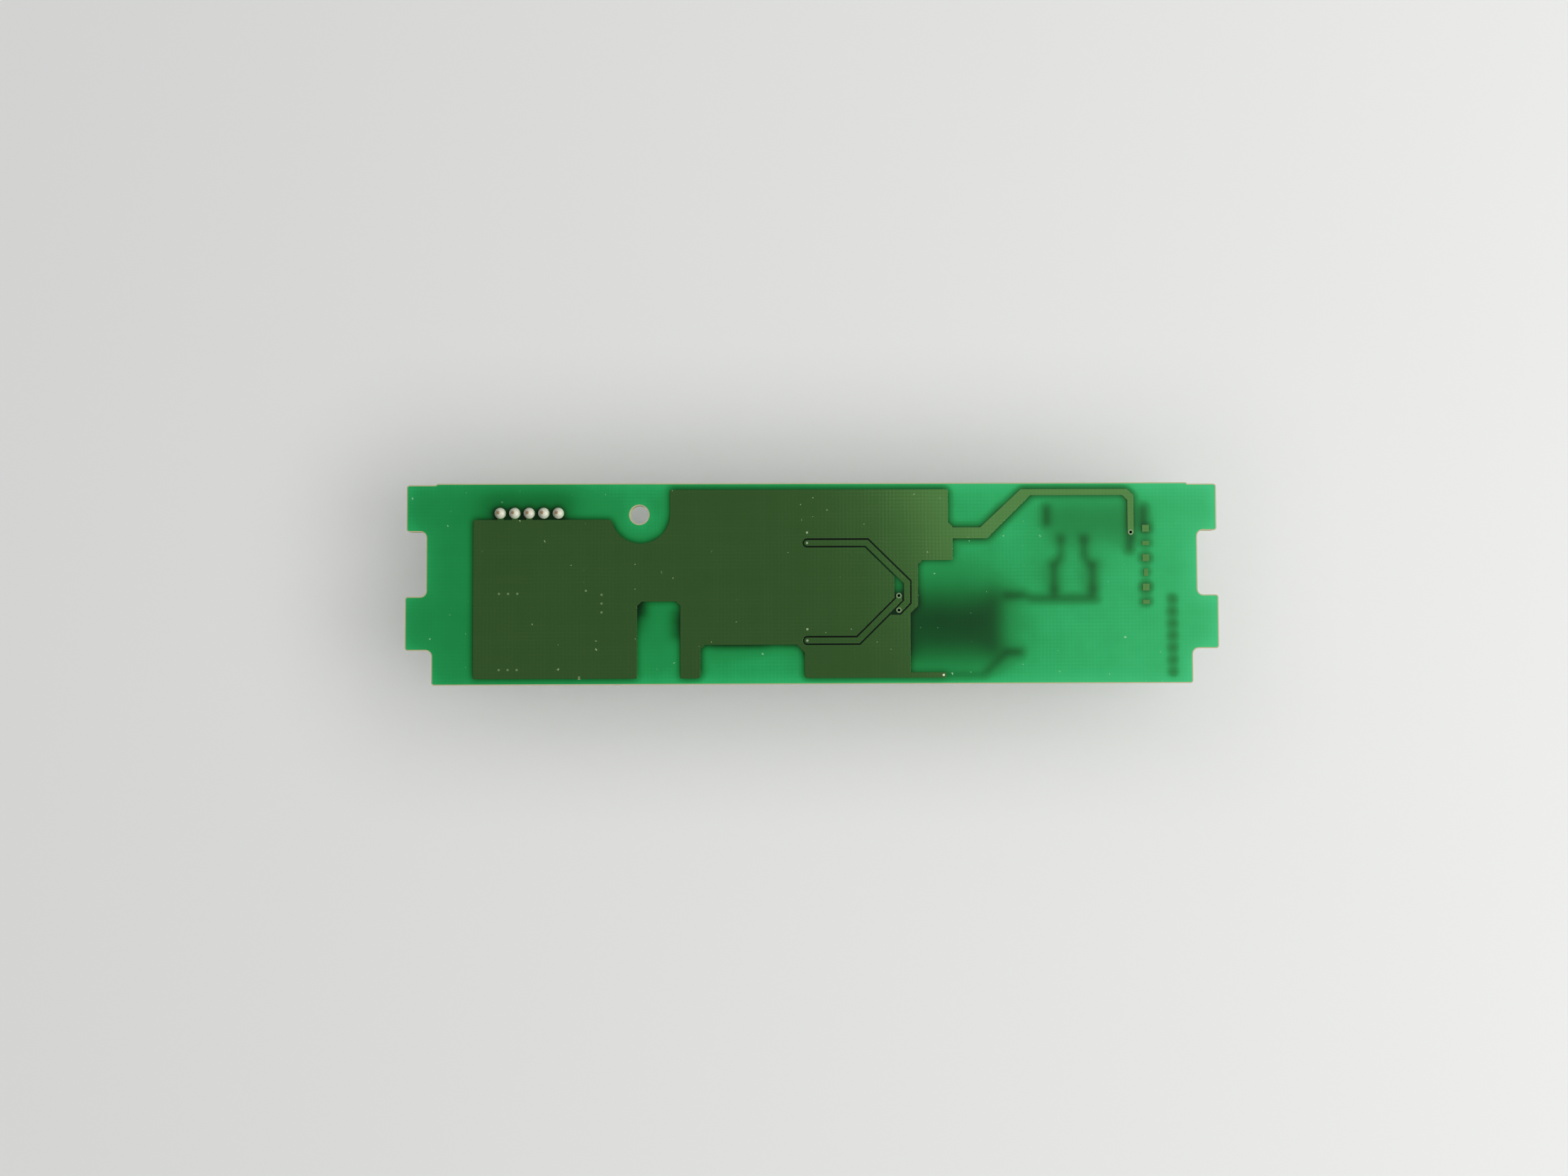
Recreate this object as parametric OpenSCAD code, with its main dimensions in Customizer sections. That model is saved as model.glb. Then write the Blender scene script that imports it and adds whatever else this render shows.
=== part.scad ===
// Backlight inverter board for a small LCD panel.
// The board lies solder side up and stands on its three tallest parts.
// +X runs along the board from the supply header to the lamp connector,
// +Y points to the edge that both connectors face, and z = 0 is the bench.

/* [Board] */
// Length over the lower pair of end tabs
board_len = 140.5; // [140.5:0.5:170]
// Width from the long lower edge to the top edge of the end tabs
board_wid = 34.55; // [34.55:0.05:42]
// Thickness of the laminate
board_t = 1.6; // [1.2:0.1:2]
// Height that the break-off strip stands above the end tabs
strip_rise = 0.25; // [0.1:0.05:0.5]
// Distance from the end of the lower tab to the end of the break-off strip
strip_setback = 5.45; // [4.6:0.05:12]
// Depth of the notch between the tabs, from the end of the lower tab
notch_depth = 3.6; // [2:0.1:4.5]
// Width of the notch between the tabs
notch_wid = 11.15; // [9:0.05:12]
// Width of the upper tabs
upper_tab_wid = 8.1; // [6:0.1:9]
// How much shorter the upper tabs are than the lower ones
upper_tab_setback = 0.2; // [0:0.05:1]
// Width of the lower tabs
lower_tab_wid = 9.3; // [7:0.1:9.5]
// Distance from the end of the lower tab to the end of the long lower edge
foot_setback = 4.55; // [3:0.05:6]
// Radius of the outer corners
outer_r = 0.5; // [0.2:0.1:1]
// Radius in the inner corners
inner_r = 1; // [0.3:0.1:1.4]
// Diameter of the mounting hole
hole_d = 3.2; // [3:0.1:4.5]
// Distance from the end of the lower tab to the mounting hole
hole_from_end = 40.3; // [38.25:0.05:42.25]
// Distance from the top edge of the tabs to the mounting hole
hole_from_top = 5.2; // [4.25:0.05:6.25]

/* [Copper] */
// Thickness of a copper layer with the solder mask on it
copper_t = 0.07; // [0.05:0.01:0.14]
// Bare margin between the ground plane and the top edge of the tabs
plane_margin = 0.9; // [0.6:0.05:1.2]
// Radius of the clearance round the mounting hole
hole_clear_r = 5.1; // [4:0.1:5.4]
// Width of the traces to the transformer
primary_trace_wid = 1; // [0.6:0.1:1.2]
// Gap between those traces and the ground plane
primary_gap = 0.3; // [0.2:0.05:0.4]
// Width of the lamp return trace
return_trace_wid = 1.05; // [0.6:0.05:1.4]
// Width of the high voltage traces
hv_trace_wid = 1; // [0.6:0.1:1.2]
// Diameter of the land round an open via
via_land_d = 0.95; // [0.8:0.05:1]
// Diameter of the hole in an open via
via_hole_d = 0.5; // [0.3:0.02:0.5]
// Wall of the plating in a via
via_wall = 0.07; // [0.05:0.01:0.1]
// Diameter of a ground via that solder has filled
filled_via_d = 0.4; // [0.3:0.05:0.5]

/* [Supply header] */
// Number of pins
header_pins = 5; // [3:1:5]
// Distance from pin to pin
header_pitch = 2.5; // [2:0.1:2.54]
// Width across a square pin
pin_wid = 0.64; // [0.5:0.02:0.7]
// Diameter of the hole for a pin
pin_hole_d = 1; // [0.95:0.01:1.1]
// Height of the tallest parts: header, transformer and choke
tall_h = 7; // [7:0.5:9]
// Depth of the header's housing
header_depth = 5.75; // [5:0.05:6.5]
// Length of housing past each end pin
header_end = 2.45; // [2:0.05:3]
// Distance from the pin row to the housing's outer face
header_face = 3.4; // [3:0.1:3.6]
// Wall of the header's housing
header_wall = 0.8; // [0.5:0.1:1]
// Floor of the header's housing
header_floor = 1.6; // [1.2:0.1:2]
// Distance from the end of the lower tab to the middle of the header
header_from_end = 21.35; // [20.25:0.05:22.25]
// Distance from the top edge of the tabs to the pin row
header_from_top = 4.9; // [4.25:0.05:5.25]
// Height of a solder joint above the copper
joint_h = 1.15; // [0.8:0.05:1.5]
// Diameter of a solder joint at its foot
joint_d = 1.9; // [1.6:0.1:2]

/* [Lamp connector] */
// Number of contact places, of which the third is left empty
lamp_places = 4; // [4:1:4]
// Distance from contact to contact
lamp_pitch = 4; // [3.5:0.1:4.2]
// Length of housing past each end contact
lamp_end = 1.4; // [1.2:0.1:2]
// Depth of the housing
lamp_depth = 4.9; // [4.5:0.1:6]
// Height of the housing
lamp_h = 4.2; // [3.8:0.1:5]
// Wall of the housing
lamp_wall = 0.6; // [0.5:0.1:0.8]
// Distance from the end of the lower tab to the middle of the connector
lamp_from_end = 21.25; // [20.75:0.05:24.25]
// Distance from the top edge of the tabs to the connector's mouth
lamp_from_top = 4.1; // [3.25:0.05:5.25]

/* [Transformer] */
// Length of the bobbin without its terminals
trafo_len = 17.5; // [16:0.5:19]
// Width of the bobbin's terminal blocks
trafo_wid = 12.5; // [12:0.1:13]
// Distance from terminal to terminal
trafo_pitch = 2.5; // [2:0.1:2.5]
// Distance from the bobbin's end to the middle of a terminal's pad
terminal_reach = 0.75; // [0.6:0.05:1]
// Thickness of the ferrite
ferrite_t = 3.4; // [2.8:0.1:3.6]
// Width of the ferrite's side legs
side_leg_wid = 1.5; // [1.2:0.1:1.7]
// Width of the ferrite's middle leg
middle_leg_wid = 3; // [2.4:0.1:3]
// Number of sections in the high voltage winding
hv_sections = 4; // [3:1:5]
// Distance from the end of the lower tab to the middle of the transformer
trafo_from_end = 45.9; // [45.75:0.05:46.25]
// Distance from the long lower edge to the middle of the transformer
trafo_from_foot = 10.25; // [9.75:0.05:10.75]

/* [Choke and capacitors] */
// Diameter of the choke's ferrite drum
choke_d = 9; // [7:0.5:9.5]
// Side of the choke's square base
choke_base = 9.8; // [9.6:0.1:10]
// Diameter of the choke wire
choke_wire_d = 0.55; // [0.4:0.05:0.6]
// Diameter of the electrolytic capacitor's can
can_d = 8; // [6.3:0.1:8]
// Height of the electrolytic capacitor with its base
can_h = 6.2; // [5.4:0.1:6.8]
// Side of the electrolytic capacitor's base
can_base = 8.3; // [8.3:0.1:8.6]
// Length, width and height of a high voltage chip capacitor
hv_cap_size = [4.5, 2, 1.7]; // [1.2:0.1:5]
// Length, width and height of the film capacitor
film_cap_size = [7.3, 6, 3.5]; // [2:0.1:8]

/* [Small parts] */
// Length, width and height of a chip resistor or capacitor
chip_size = [2, 1.25, 0.55]; // [0.4:0.05:2.2]
// Length of the solderable end of a chip part
chip_end = 0.4; // [0.2:0.05:0.5]
// Length, width and height of the controller's body
controller_size = [9.9, 3.9, 1.5]; // [1.2:0.1:10]
// Number of leads of the controller
controller_leads = 16; // [8:2:16]
// Length, width and height of the fuse
fuse_size = [6.1, 2.6, 2.6]; // [2:0.1:7]
// Length, width and height of the diode's body
diode_size = [4.3, 2.6, 2.2]; // [2:0.1:5]

/* [Hidden] */
$fn = 48;

// Heights
under_z = tall_h;
top_z = under_z + board_t;
copper_top_z = top_z + copper_t;

// The board's ends and edges, about the middle of its whole outline
x_left = -board_len / 2;
x_right = board_len / 2;
y_high = (board_wid + strip_rise) / 2;
y_top = y_high - strip_rise;
y_foot = -y_high;
notch_top = y_top - upper_tab_wid;
notch_foot = notch_top - notch_wid;
lower_tab_foot = notch_foot - lower_tab_wid;

// Where the main parts stand
hole = [x_left + hole_from_end, y_top - hole_from_top];
header = [x_left + header_from_end, y_top - header_from_top];
header_half = (header_pins - 1) * header_pitch / 2;
lamp = [x_right - lamp_from_end, y_top - lamp_from_top];
lamp_half = (lamp_places - 1) * lamp_pitch / 2;
lamp_len = 2 * (lamp_half + lamp_end);
trafo = [x_right - trafo_from_end, y_foot + trafo_from_foot];
primary_x = trafo[0] - trafo_len / 2 - terminal_reach;
secondary_x = trafo[0] + trafo_len / 2 + terminal_reach + 0.95;
tall_d = tall_h - copper_t;
can = [x_left + 36.7, y_foot + 12.95];
choke = [x_left + 20.75, y_foot + 8.85];
fuse = [x_left + 25.75, y_foot + 22.25];
diode = [x_left + 34.05, y_foot + 4.85];
input_switch = [x_left + 49.15, y_foot + 10.45];
controller = [x_left + 57.85, y_foot + 9.65];
film_cap = [primary_x - 6.2, trafo[1] + 5.9];
drive_x = primary_x - 10.25;
drive_via_x = drive_x - 5.6;
drive_y = [y_top - 10.15, y_foot + 7.55];

// The ground plane's corners follow the parts that it clears
plane_top = y_top - plane_margin;
plane_foot = y_foot + plane_margin + 0.2;
plane_left = x_left + 11.7;
plane_left_top = header[1] - 1.15;
slit = [hole[0] - 0.4, hole[0] + 7.05];
slit_top = y_foot + 14.35;
cut = [hole[0] + 10.5, primary_x - 16.3];
cut_top = y_foot + 6.85;
plane_right = primary_x + 3.3;
plane_right_foot = primary_x + 1.95;
block_right = primary_x + 8.55;
step_foot = y_top - 13.15;
step_right = block_right + 0.8;
return_y = y_top - 8.47;
plane_neck_wid = 1;

// Pitch rows of the transformer's terminals
rows = [2, 1, 0, -1, -2];
first_row = trafo[1] + rows[0] * trafo_pitch;
second_row = trafo[1] + rows[1] * trafo_pitch;
last_row = trafo[1] + rows[4] * trafo_pitch;

// Both primary traces, from the drive transistors to the transformer
upper_primary = [
    [drive_via_x, drive_y[0]],
    [primary_x - 5.55, drive_y[0]],
    [primary_x + 1.4, drive_y[0] - 6.85],
    [primary_x + 1.4, second_row + 1.45],
    [primary_x, second_row]
];
lower_primary = [
    [drive_via_x, drive_y[1]],
    [primary_x - 7.05, drive_y[1]],
    [primary_x, first_row - 0.7],
    [primary_x, first_row]
];

return_via = [lamp[0] + lamp_half + 0.1, lamp[1] - lamp_depth + 0.6];
low_side_via = [trafo[0] - 1.85, y_foot + 1.55];

open_via_places = [upper_primary[4], lower_primary[3], return_via];
filled_via_places = concat(
    [upper_primary[0], lower_primary[0], low_side_via],
    [upper_primary[0] + [0, 1.8], lower_primary[0] + [0, 1.95]],
    [for (i = [0:2]) [x_left + 16.15 + 1.58 * i, y_top - 18.8]],
    [for (i = [0:2]) [x_left + 16.15 + 1.54 * i, y_foot + 2.65]],
    [for (i = [0:2]) [x_left + 33.8, y_top - 19 - 1.52 * i]],
    [[x_left + 31.1, y_top - 18.3], [x_left + 29.95, y_foot + 1.35]]
);

// High voltage traces under the board, from the transformer to the lamp connector
lamp_contacts = [0, 1, 3];
contact_x = [for (i = lamp_contacts) lamp[0] - lamp_half + i * lamp_pitch];
contact_y = lamp[1] - lamp_depth - 0.65;
hv_cap = [[contact_x[0] - 1.25, y_top - 16.1], [contact_x[1] + 1.3, y_top - 16.1]];
hv_rail_y = y_top - 20;
hv_runs = [
    [[contact_x[0], contact_y], [contact_x[0], contact_y - 2.9], [hv_cap[0][0], hv_cap[0][1] + 1.8],
        [hv_cap[0][0], hv_rail_y]],
    [[contact_x[1], contact_y], [contact_x[1], contact_y - 2.9], [hv_cap[1][0], hv_cap[1][1] + 1.3],
        [hv_cap[1][0], hv_rail_y]],
    [[hv_cap[1][0] + 0.7, hv_rail_y], [secondary_x + 3.2, hv_rail_y], [secondary_x + 1.6, first_row + 0.1],
        [secondary_x, first_row + 0.1]]
];
low_side_run = [
    [secondary_x, last_row], [secondary_x - 1.7, last_row], [secondary_x - 5.2, low_side_via[1]], low_side_via
];

// Leads of the two integrated circuits, and the pads under them as [across the lead, along it]
lead_wid = 0.42;
lead_pitch = 1.27;
lead_pad = [0.65, 1.2];
lead_foot = 2.65;
input_switch_size = [4.9, controller_size[1], controller_size[2]];
input_switch_lead_count = 8;

// Small parts as [x, y, turn] about the controller and the drive transistors
resistor_places = [
    for (i = [0:4]) [controller[0] - 6.2 + 3.1 * i, controller[1] + 5.3, 90],
    [controller[0] + 8.6, controller[1] + 3.4, 0], [controller[0] + 8.6, controller[1] + 0.8, 0],
    [controller[0] + 8.6, controller[1] - 1.8, 0], [fuse[0] + 9.2, fuse[1] - 0.2, 90]
];
capacitor_places = [
    for (i = [0:3]) [controller[0] - 4.65 + 3.1 * i, controller[1] + 9, 90],
    [controller[0] + 8.6, controller[1] + 6, 0], [fuse[0] + 12, fuse[1] - 0.2, 90],
    [choke[0] + 8.2, choke[1] - 6.1, 0]
];
small_transistor_places = [
    [controller[0] + 15.2, controller[1] + 4.6, 0], [controller[0] + 15.2, controller[1] + 9, 0],
    [fuse[0] + 15.4, fuse[1] - 0.2, 0]
];

// ---- shared shapes ----

// Unit vector from a to b
function toward(a, b) = (b - a) / norm(b - a);

// The arc that rounds corner p between its neighbours a and b
function corner_arc(a, p, b, r, steps = 6) =
    let (
        u = toward(p, a),
        v = toward(p, b),
        half = acos(u * v) / 2,
        centre = p + toward([0, 0], u + v) * r / sin(half),
        from = p + u * r / tan(half) - centre,
        to = p + v * r / tan(half) - centre,
        turn = atan2(from[0] * to[1] - from[1] * to[0], from * to)
    )
    [for (i = [0:steps]) centre + [
        from[0] * cos(turn * i / steps) - from[1] * sin(turn * i / steps),
        from[0] * sin(turn * i / steps) + from[1] * cos(turn * i / steps)
    ]];

// A closed outline whose points are [x, y] or [x, y, radius]
function rounded(points) = [
    for (i = [0:len(points) - 1])
        let (
            p = points[i],
            before = points[(i + len(points) - 1) % len(points)],
            after = points[(i + 1) % len(points)]
        )
        each is_undef(p[2])
            ? [[p[0], p[1]]]
            : corner_arc([before[0], before[1]], [p[0], p[1]], [after[0], after[1]], p[2])
];

function mirrored(points) = [for (i = [len(points) - 1:-1:0]) [-points[i][0], points[i][1], points[i][2]]];

// One side of a trace: its points moved by d to the left, mitred at the bends
function trace_side(points, d) = [
    for (i = [0:len(points) - 1])
        let (
            into = toward(points[max(i - 1, 0)], points[max(i, 1)]),
            out = toward(points[min(i, len(points) - 2)], points[min(i + 1, len(points) - 1)]),
            along = toward([0, 0], into + out)
        )
        points[i] + [-along[1], along[0]] * d / (along * into)
];

// Half a turn round p, from the left of heading a to its right
function round_end(p, a, r) = [for (t = [67.5:-22.5:-67.5]) p + r * [cos(a + t), sin(a + t)]];

// Places of the leads in a row, about its middle
function lead_row(count) = [for (i = [0:count - 1]) (i - (count - 1) / 2) * lead_pitch];

function heading(a, b) = atan2(b[1] - a[1], b[0] - a[0]);

// Outline of a trace with round ends
function trace_outline(points, wid) =
    let (last = len(points) - 1, side = trace_side(points, wid / 2), other = trace_side(points, -wid / 2))
    concat(
        side,
        round_end(points[last], heading(points[last - 1], points[last]), wid / 2),
        [for (i = [last:-1:0]) other[i]],
        round_end(points[0], heading(points[1], points[0]), wid / 2)
    );

// What hangs from the component side: z counts away from the board
module under() {
    translate([0, 0, under_z])
        mirror([0, 0, 1])
            children();
}

// The same, from the face of the component side's copper
module on_pads() {
    translate([0, 0, under_z - copper_t])
        mirror([0, 0, 1])
            children();
}

// A block that stands on z = 0, centred in X and Y
module block(size) {
    translate([-size[0] / 2, -size[1] / 2, 0])
        cube(size);
}

module placed(place) {
    translate([place[0], place[1], 0])
        rotate(place[2])
            children();
}

// A copper pad about x, y
module pad(x, y, size_x, size_y) {
    translate([x, y, 0])
        block([size_x, size_y, copper_t]);
}

// A trace of copper along a list of points
module trace(points, wid) {
    linear_extrude(copper_t)
        polygon(trace_outline(points, wid));
}

// The holes through a copper layer, for pins and vias
module copper_holes() {
    deep = 1;
    translate([0, 0, -deep / 2]) {
        header_pin_places()
            cylinder(d = pin_hole_d, h = deep);
        for (p = open_via_places)
            translate(p)
                cylinder(d = via_hole_d + 2 * via_wall, h = deep);
        for (p = filled_via_places)
            translate(p)
                cylinder(d = filled_via_d, h = deep);
    }
}

module header_pin_places() {
    for (i = [0:header_pins - 1])
        translate([header[0] - header_half + i * header_pitch, header[1], 0])
            children();
}

// A lead bent like a gull's wing, from the body's side down to its pad, pointing along +X
module gull_lead(reach, high, wid, thick = 0.2) {
    bend = reach * 0.55;
    translate([0, wid / 2, 0])
        rotate([90, 0, 0])
            linear_extrude(wid)
                polygon([
                    [0, high - thick / 2], [bend - thick, high - thick / 2], [bend - thick, 0], [reach, 0],
                    [reach, thick], [bend, thick], [bend, high + thick / 2], [0, high + thick / 2]
                ]);
}

// ---- board ----

right_edge = [
    [x_right - strip_setback, y_high], [x_right - strip_setback + strip_rise, y_top],
    [x_right - upper_tab_setback, y_top, outer_r], [x_right - upper_tab_setback, notch_top, outer_r],
    [x_right - notch_depth, notch_top, inner_r], [x_right - notch_depth, notch_foot, inner_r],
    [x_right, notch_foot, outer_r], [x_right, lower_tab_foot, outer_r],
    [x_right - foot_setback, lower_tab_foot, inner_r], [x_right - foot_setback, y_foot, outer_r]
];

module board_outline() {
    polygon(rounded(concat(right_edge, mirrored(right_edge))));
}

module board_laminate() {
    color("#2b9f5c")
        translate([0, 0, under_z])
            difference() {
                linear_extrude(board_t)
                    board_outline();
                translate([hole[0], hole[1], -1])
                    cylinder(d = hole_d, h = board_t + 2);
                translate([0, 0, -1]) {
                    header_pin_places()
                        cylinder(d = pin_hole_d, h = board_t + 2);
                    for (p = open_via_places)
                        translate(p)
                            cylinder(d = via_hole_d + 2 * via_wall, h = board_t + 2);
                    for (p = filled_via_places)
                        translate(p)
                            cylinder(d = filled_via_d, h = board_t + 2);
                }
            }
}

// Outline of the ground plane, clockwise from its top left corner. It runs round the mounting hole.
clear_centre = hole + [0.2, 0.1];
plane_outline = rounded([
    [plane_left, plane_left_top, 0.3], [hole[0] - 4.95, plane_left_top, 0.5],
    each [for (a = [195:7.5:360]) clear_centre + hole_clear_r * [cos(a), sin(a)]],
    [clear_centre[0] + hole_clear_r, plane_top, 0.2],
    [block_right, plane_top, 0.2], [block_right, return_y + 1.9], [step_right, return_y + 1.1],
    [step_right, step_foot, 0.2], [plane_right + 0.75, step_foot],
    [plane_right, step_foot - 0.75], [plane_right, second_row + 0.75], [plane_right_foot, second_row - 0.55],
    [plane_right_foot, plane_foot, 0.1], [cut[1] + 0.35, plane_foot], [cut[1], plane_foot + 0.35],
    [cut[1], cut_top - 1.4], [cut[1] - 1.35, cut_top], [cut[0] + 0.8, cut_top], [cut[0], cut_top - 0.8],
    [cut[0], plane_foot + 0.35], [cut[0] - 0.35, plane_foot], [slit[1], plane_foot, 0.2],
    [slit[1], slit_top - 0.75], [slit[1] - 0.75, slit_top], [slit[0] + 0.8, slit_top],
    [slit[0], slit_top - 0.8], [slit[0], plane_foot, 0.2], [plane_left, plane_foot, 0.3]
]);

// Outline of the lamp return: wide from the plane to the top edge, narrow from there to its via
return_outline = concat(
    [
        [step_right - 0.5, return_y + 0.95], [block_right + 5.6, return_y + 0.95],
        [block_right + 12.65, plane_top], [lamp[0] + 5.5, plane_top],
        [return_via[0] + return_trace_wid / 2, plane_top - return_trace_wid]
    ],
    [for (a = [0:-22.5:-180]) return_via + return_trace_wid / 2 * [cos(a), sin(a)]],
    [
        [return_via[0] - return_trace_wid / 2, plane_top - 1.9],
        [lamp[0] + 4.65, plane_top - return_trace_wid], [block_right + 14.3, plane_top - return_trace_wid],
        [block_right + 6.75, return_y - 0.95], [step_right - 0.5, return_y - 0.95]
    ]
);

module solder_side_copper() {
    stub_wid = 0.9;
    overlap = 1;
    gap_wid = primary_trace_wid + 2 * primary_gap;
    color("#2f5128")
        translate([0, 0, top_z])
            difference() {
                union() {
                    difference() {
                        linear_extrude(copper_t)
                            polygon(plane_outline);
                        translate([0, 0, -overlap / 2])
                            linear_extrude(overlap) {
                                polygon(trace_outline(upper_primary, gap_wid));
                                polygon(trace_outline(lower_primary, gap_wid));
                                // Bare corners between the ends of the two traces
                                polygon([
                                    [primary_x - 0.8, drive_y[0] - 4.6], [primary_x + 1.4, drive_y[0] - 6.85],
                                    [primary_x + 1.4, first_row], [primary_x - 0.8, first_row]
                                ]);
                                polygon([
                                    [primary_x - 1.4, second_row - 0.8], [primary_x + 0.33, second_row - 0.8],
                                    [primary_x + 0.57, second_row - 0.57], [primary_x, first_row - 0.7],
                                    [primary_x - 1.4, second_row + 0.3]
                                ]);
                            }
                    }
                    trace(upper_primary, primary_trace_wid);
                    trace(lower_primary, primary_trace_wid);
                    linear_extrude(copper_t)
                        polygon(return_outline);
                    // Stub to the low side of the lamps
                    translate([plane_right_foot - overlap, low_side_via[1] - stub_wid / 2, 0])
                        cube([low_side_via[0] + 0.4 - plane_right_foot + overlap, stub_wid, copper_t]);
                    // Necks that tie the ground pins to the plane
                    for (i = [0:min(2, header_pins - 1)])
                        translate([header[0] - header_half + i * header_pitch - plane_neck_wid / 2,
                                plane_left_top - overlap, 0])
                            cube([plane_neck_wid, header[1] - plane_left_top + overlap, copper_t]);
                    header_pin_places()
                        cylinder(d = joint_d + 0.1, h = copper_t);
                }
                copper_holes();
            }
}

// Every pad and trace on the component side
module component_side_shapes() {
    for (path = hv_runs)
        trace(path, hv_trace_wid);
    trace(low_side_run, hv_trace_wid);
    // Lamp connector
    for (x = contact_x)
        pad(x, contact_y, 1.5, 1.5);
    pad(contact_x[2], contact_y - 1.2, 1.3, 2.2);
    for (side = [-1, 1])
        pad(lamp[0] + side * (lamp_len / 2 + 0.95), lamp[1] - 1.55, 1.4, 3.8);
    // High voltage capacitors
    for (p = hv_cap, end = [-1, 1])
        pad(p[0], p[1] + end * hv_cap_size[0] / 2, hv_cap_size[1] - 0.2, 1.2);
    // Transformer terminals
    for (row = rows)
        pad(primary_x, trafo[1] + row * trafo_pitch, 2, 1.3);
    for (y = [first_row, last_row])
        pad(secondary_x - 0.1, y, 3.4, 1.4);
    // Drive transistors: the collector pad reaches its via
    for (y = drive_y) {
        pad(drive_x - 2.9, y, 6.8, 5.4);
        for (side = [-1, 1])
            pad(drive_x + 5.3, y + side * 2.3, 2, 1.3);
    }
    // Film capacitor across the primary
    for (side = [-1, 1])
        pad(film_cap[0] + side * (film_cap_size[0] / 2 - 0.3), film_cap[1], 1.8, film_cap_size[1] - 0.6);
    // Supply side
    for (side = [-1, 1]) {
        pad(fuse[0] + side * (fuse_size[0] / 2 - 0.3), fuse[1], 2, fuse_size[1] + 0.2);
        pad(can[0] + side * 3.2, can[1], 3.4, 2.2);
        pad(choke[0] + side * (choke_base / 2 - 0.6), choke[1], 2.4, 3);
        pad(diode[0] + side * 2.3, diode[1], 1.8, 2);
    }
    // Input switch
    for (side = [-1, 1], y = lead_row(input_switch_lead_count / 2))
        pad(input_switch[0] + side * lead_foot, input_switch[1] + y, lead_pad[1], lead_pad[0]);
    // Controller
    for (side = [-1, 1], x = lead_row(controller_leads / 2))
        pad(controller[0] + x, controller[1] + side * lead_foot, lead_pad[0], lead_pad[1]);
    // Chip parts
    for (place = concat(resistor_places, capacitor_places))
        placed(place)
            for (side = [-1, 1])
                pad(side * chip_size[0] / 2, 0, 1, chip_size[1] + 0.1);
    // Three-legged transistors
    for (place = small_transistor_places)
        placed(place)
            for (leg = [[-0.95, -1.1], [0.95, -1.1], [0, 1.1]])
                pad(leg[0], leg[1], 0.8, 0.9);
    header_pin_places()
        cylinder(d = 1.7, h = copper_t);
    for (p = open_via_places)
        translate(p)
            cylinder(d = via_land_d, h = copper_t);
}

module component_side_copper() {
    color("#3a6b35")
        translate([0, 0, under_z - copper_t])
            difference() {
                component_side_shapes();
                copper_holes();
            }
}

// Plated barrel with its land on the solder side
module open_vias() {
    land_t = 0.03;
    color("#a8a27a")
        for (p = open_via_places)
            translate([p[0], p[1], under_z - copper_t])
                difference() {
                    union() {
                        cylinder(d = via_hole_d + 2 * via_wall, h = board_t + 2 * copper_t + land_t);
                        translate([0, 0, board_t + 2 * copper_t])
                            cylinder(d = via_land_d, h = land_t);
                    }
                    translate([0, 0, -1])
                        cylinder(d = via_hole_d, h = board_t + 3);
                }
}

module filled_vias() {
    bead_h = 0.06;
    color("#b9c2a4")
        for (p = filled_via_places)
            translate([p[0], p[1], under_z - copper_t])
                cylinder(d = filled_via_d, h = board_t + 2 * copper_t + bead_h);
}

// ---- supply header ----

// Bead of solder round the tip of each pin
module header_solder_joints() {
    foot_t = 0.12;
    ball_r = joint_d / 2;
    color("#d6d3c8")
        header_pin_places()
            translate([0, 0, copper_top_z])
                difference() {
                    rotate_extrude()
                        polygon(concat(
                            [[0, 0], [ball_r, 0], [ball_r, foot_t]],
                            [for (a = [15:15:75])
                                [ball_r * cos(a), foot_t + (joint_h - foot_t) * sin(a)]],
                            [[0, joint_h]]
                        ));
                    translate([-pin_wid / 2, -pin_wid / 2, -1])
                        cube([pin_wid, pin_wid, pin_top_z - copper_top_z + 1]);
                }
}

header_len = 2 * (header_half + header_end);
pin_top_z = copper_top_z + joint_h - 0.2;
pin_tip_gap = 0.9;

module input_header_housing() {
    slot_wid = 1.4;
    slot_deep = 3.2;
    back = header_depth - header_face;
    color("#e9e4d2")
        translate([header[0], header[1], 0])
            difference() {
                translate([-header_len / 2, -back, 0])
                    cube([header_len, header_depth, tall_d]);
                translate([-header_len / 2 + header_wall, -back + header_wall, -1])
                    cube([header_len - 2 * header_wall, header_depth - 2 * header_wall,
                            tall_h - header_floor + 1]);
                // Keying slots in the front wall
                for (side = [-1, 1])
                    translate([side * (header_half - 0.4) - slot_wid / 2, header_face - header_wall - 1, -1])
                        cube([slot_wid, header_wall + 2, slot_deep + 1]);
                // Lead-in at the back wall
                translate([-slot_wid / 2, -back - 1, -1])
                    cube([slot_wid, header_wall + 2, slot_deep / 2 + 1]);
                for (i = [0:header_pins - 1])
                    translate([i * header_pitch - header_half - pin_wid / 2, -pin_wid / 2, -1])
                        cube([pin_wid, pin_wid, tall_h + 2]);
            }
}

module input_header_pins() {
    tip = 0.15;
    color("#c9c4b4")
        header_pin_places()
            translate([0, 0, pin_tip_gap])
                difference() {
                    translate([-pin_wid / 2, -pin_wid / 2, 0])
                        cube([pin_wid, pin_wid, pin_top_z - pin_tip_gap]);
                    // Bevelled tip
                    for (a = [0, 90, 180, 270])
                        rotate(a)
                            translate([pin_wid / 2, -1, -1])
                                rotate([0, -30, 0])
                                    translate([-tip, 0, 0])
                                        cube([1, 2, 1 + tip]);
                }
}

// ---- lamp connector ----

// Local frame: x along the row, y = 0 at the mouth, z away from the board
module at_lamp() {
    under()
        translate([lamp[0], lamp[1], copper_t])
            children();
}

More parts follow.
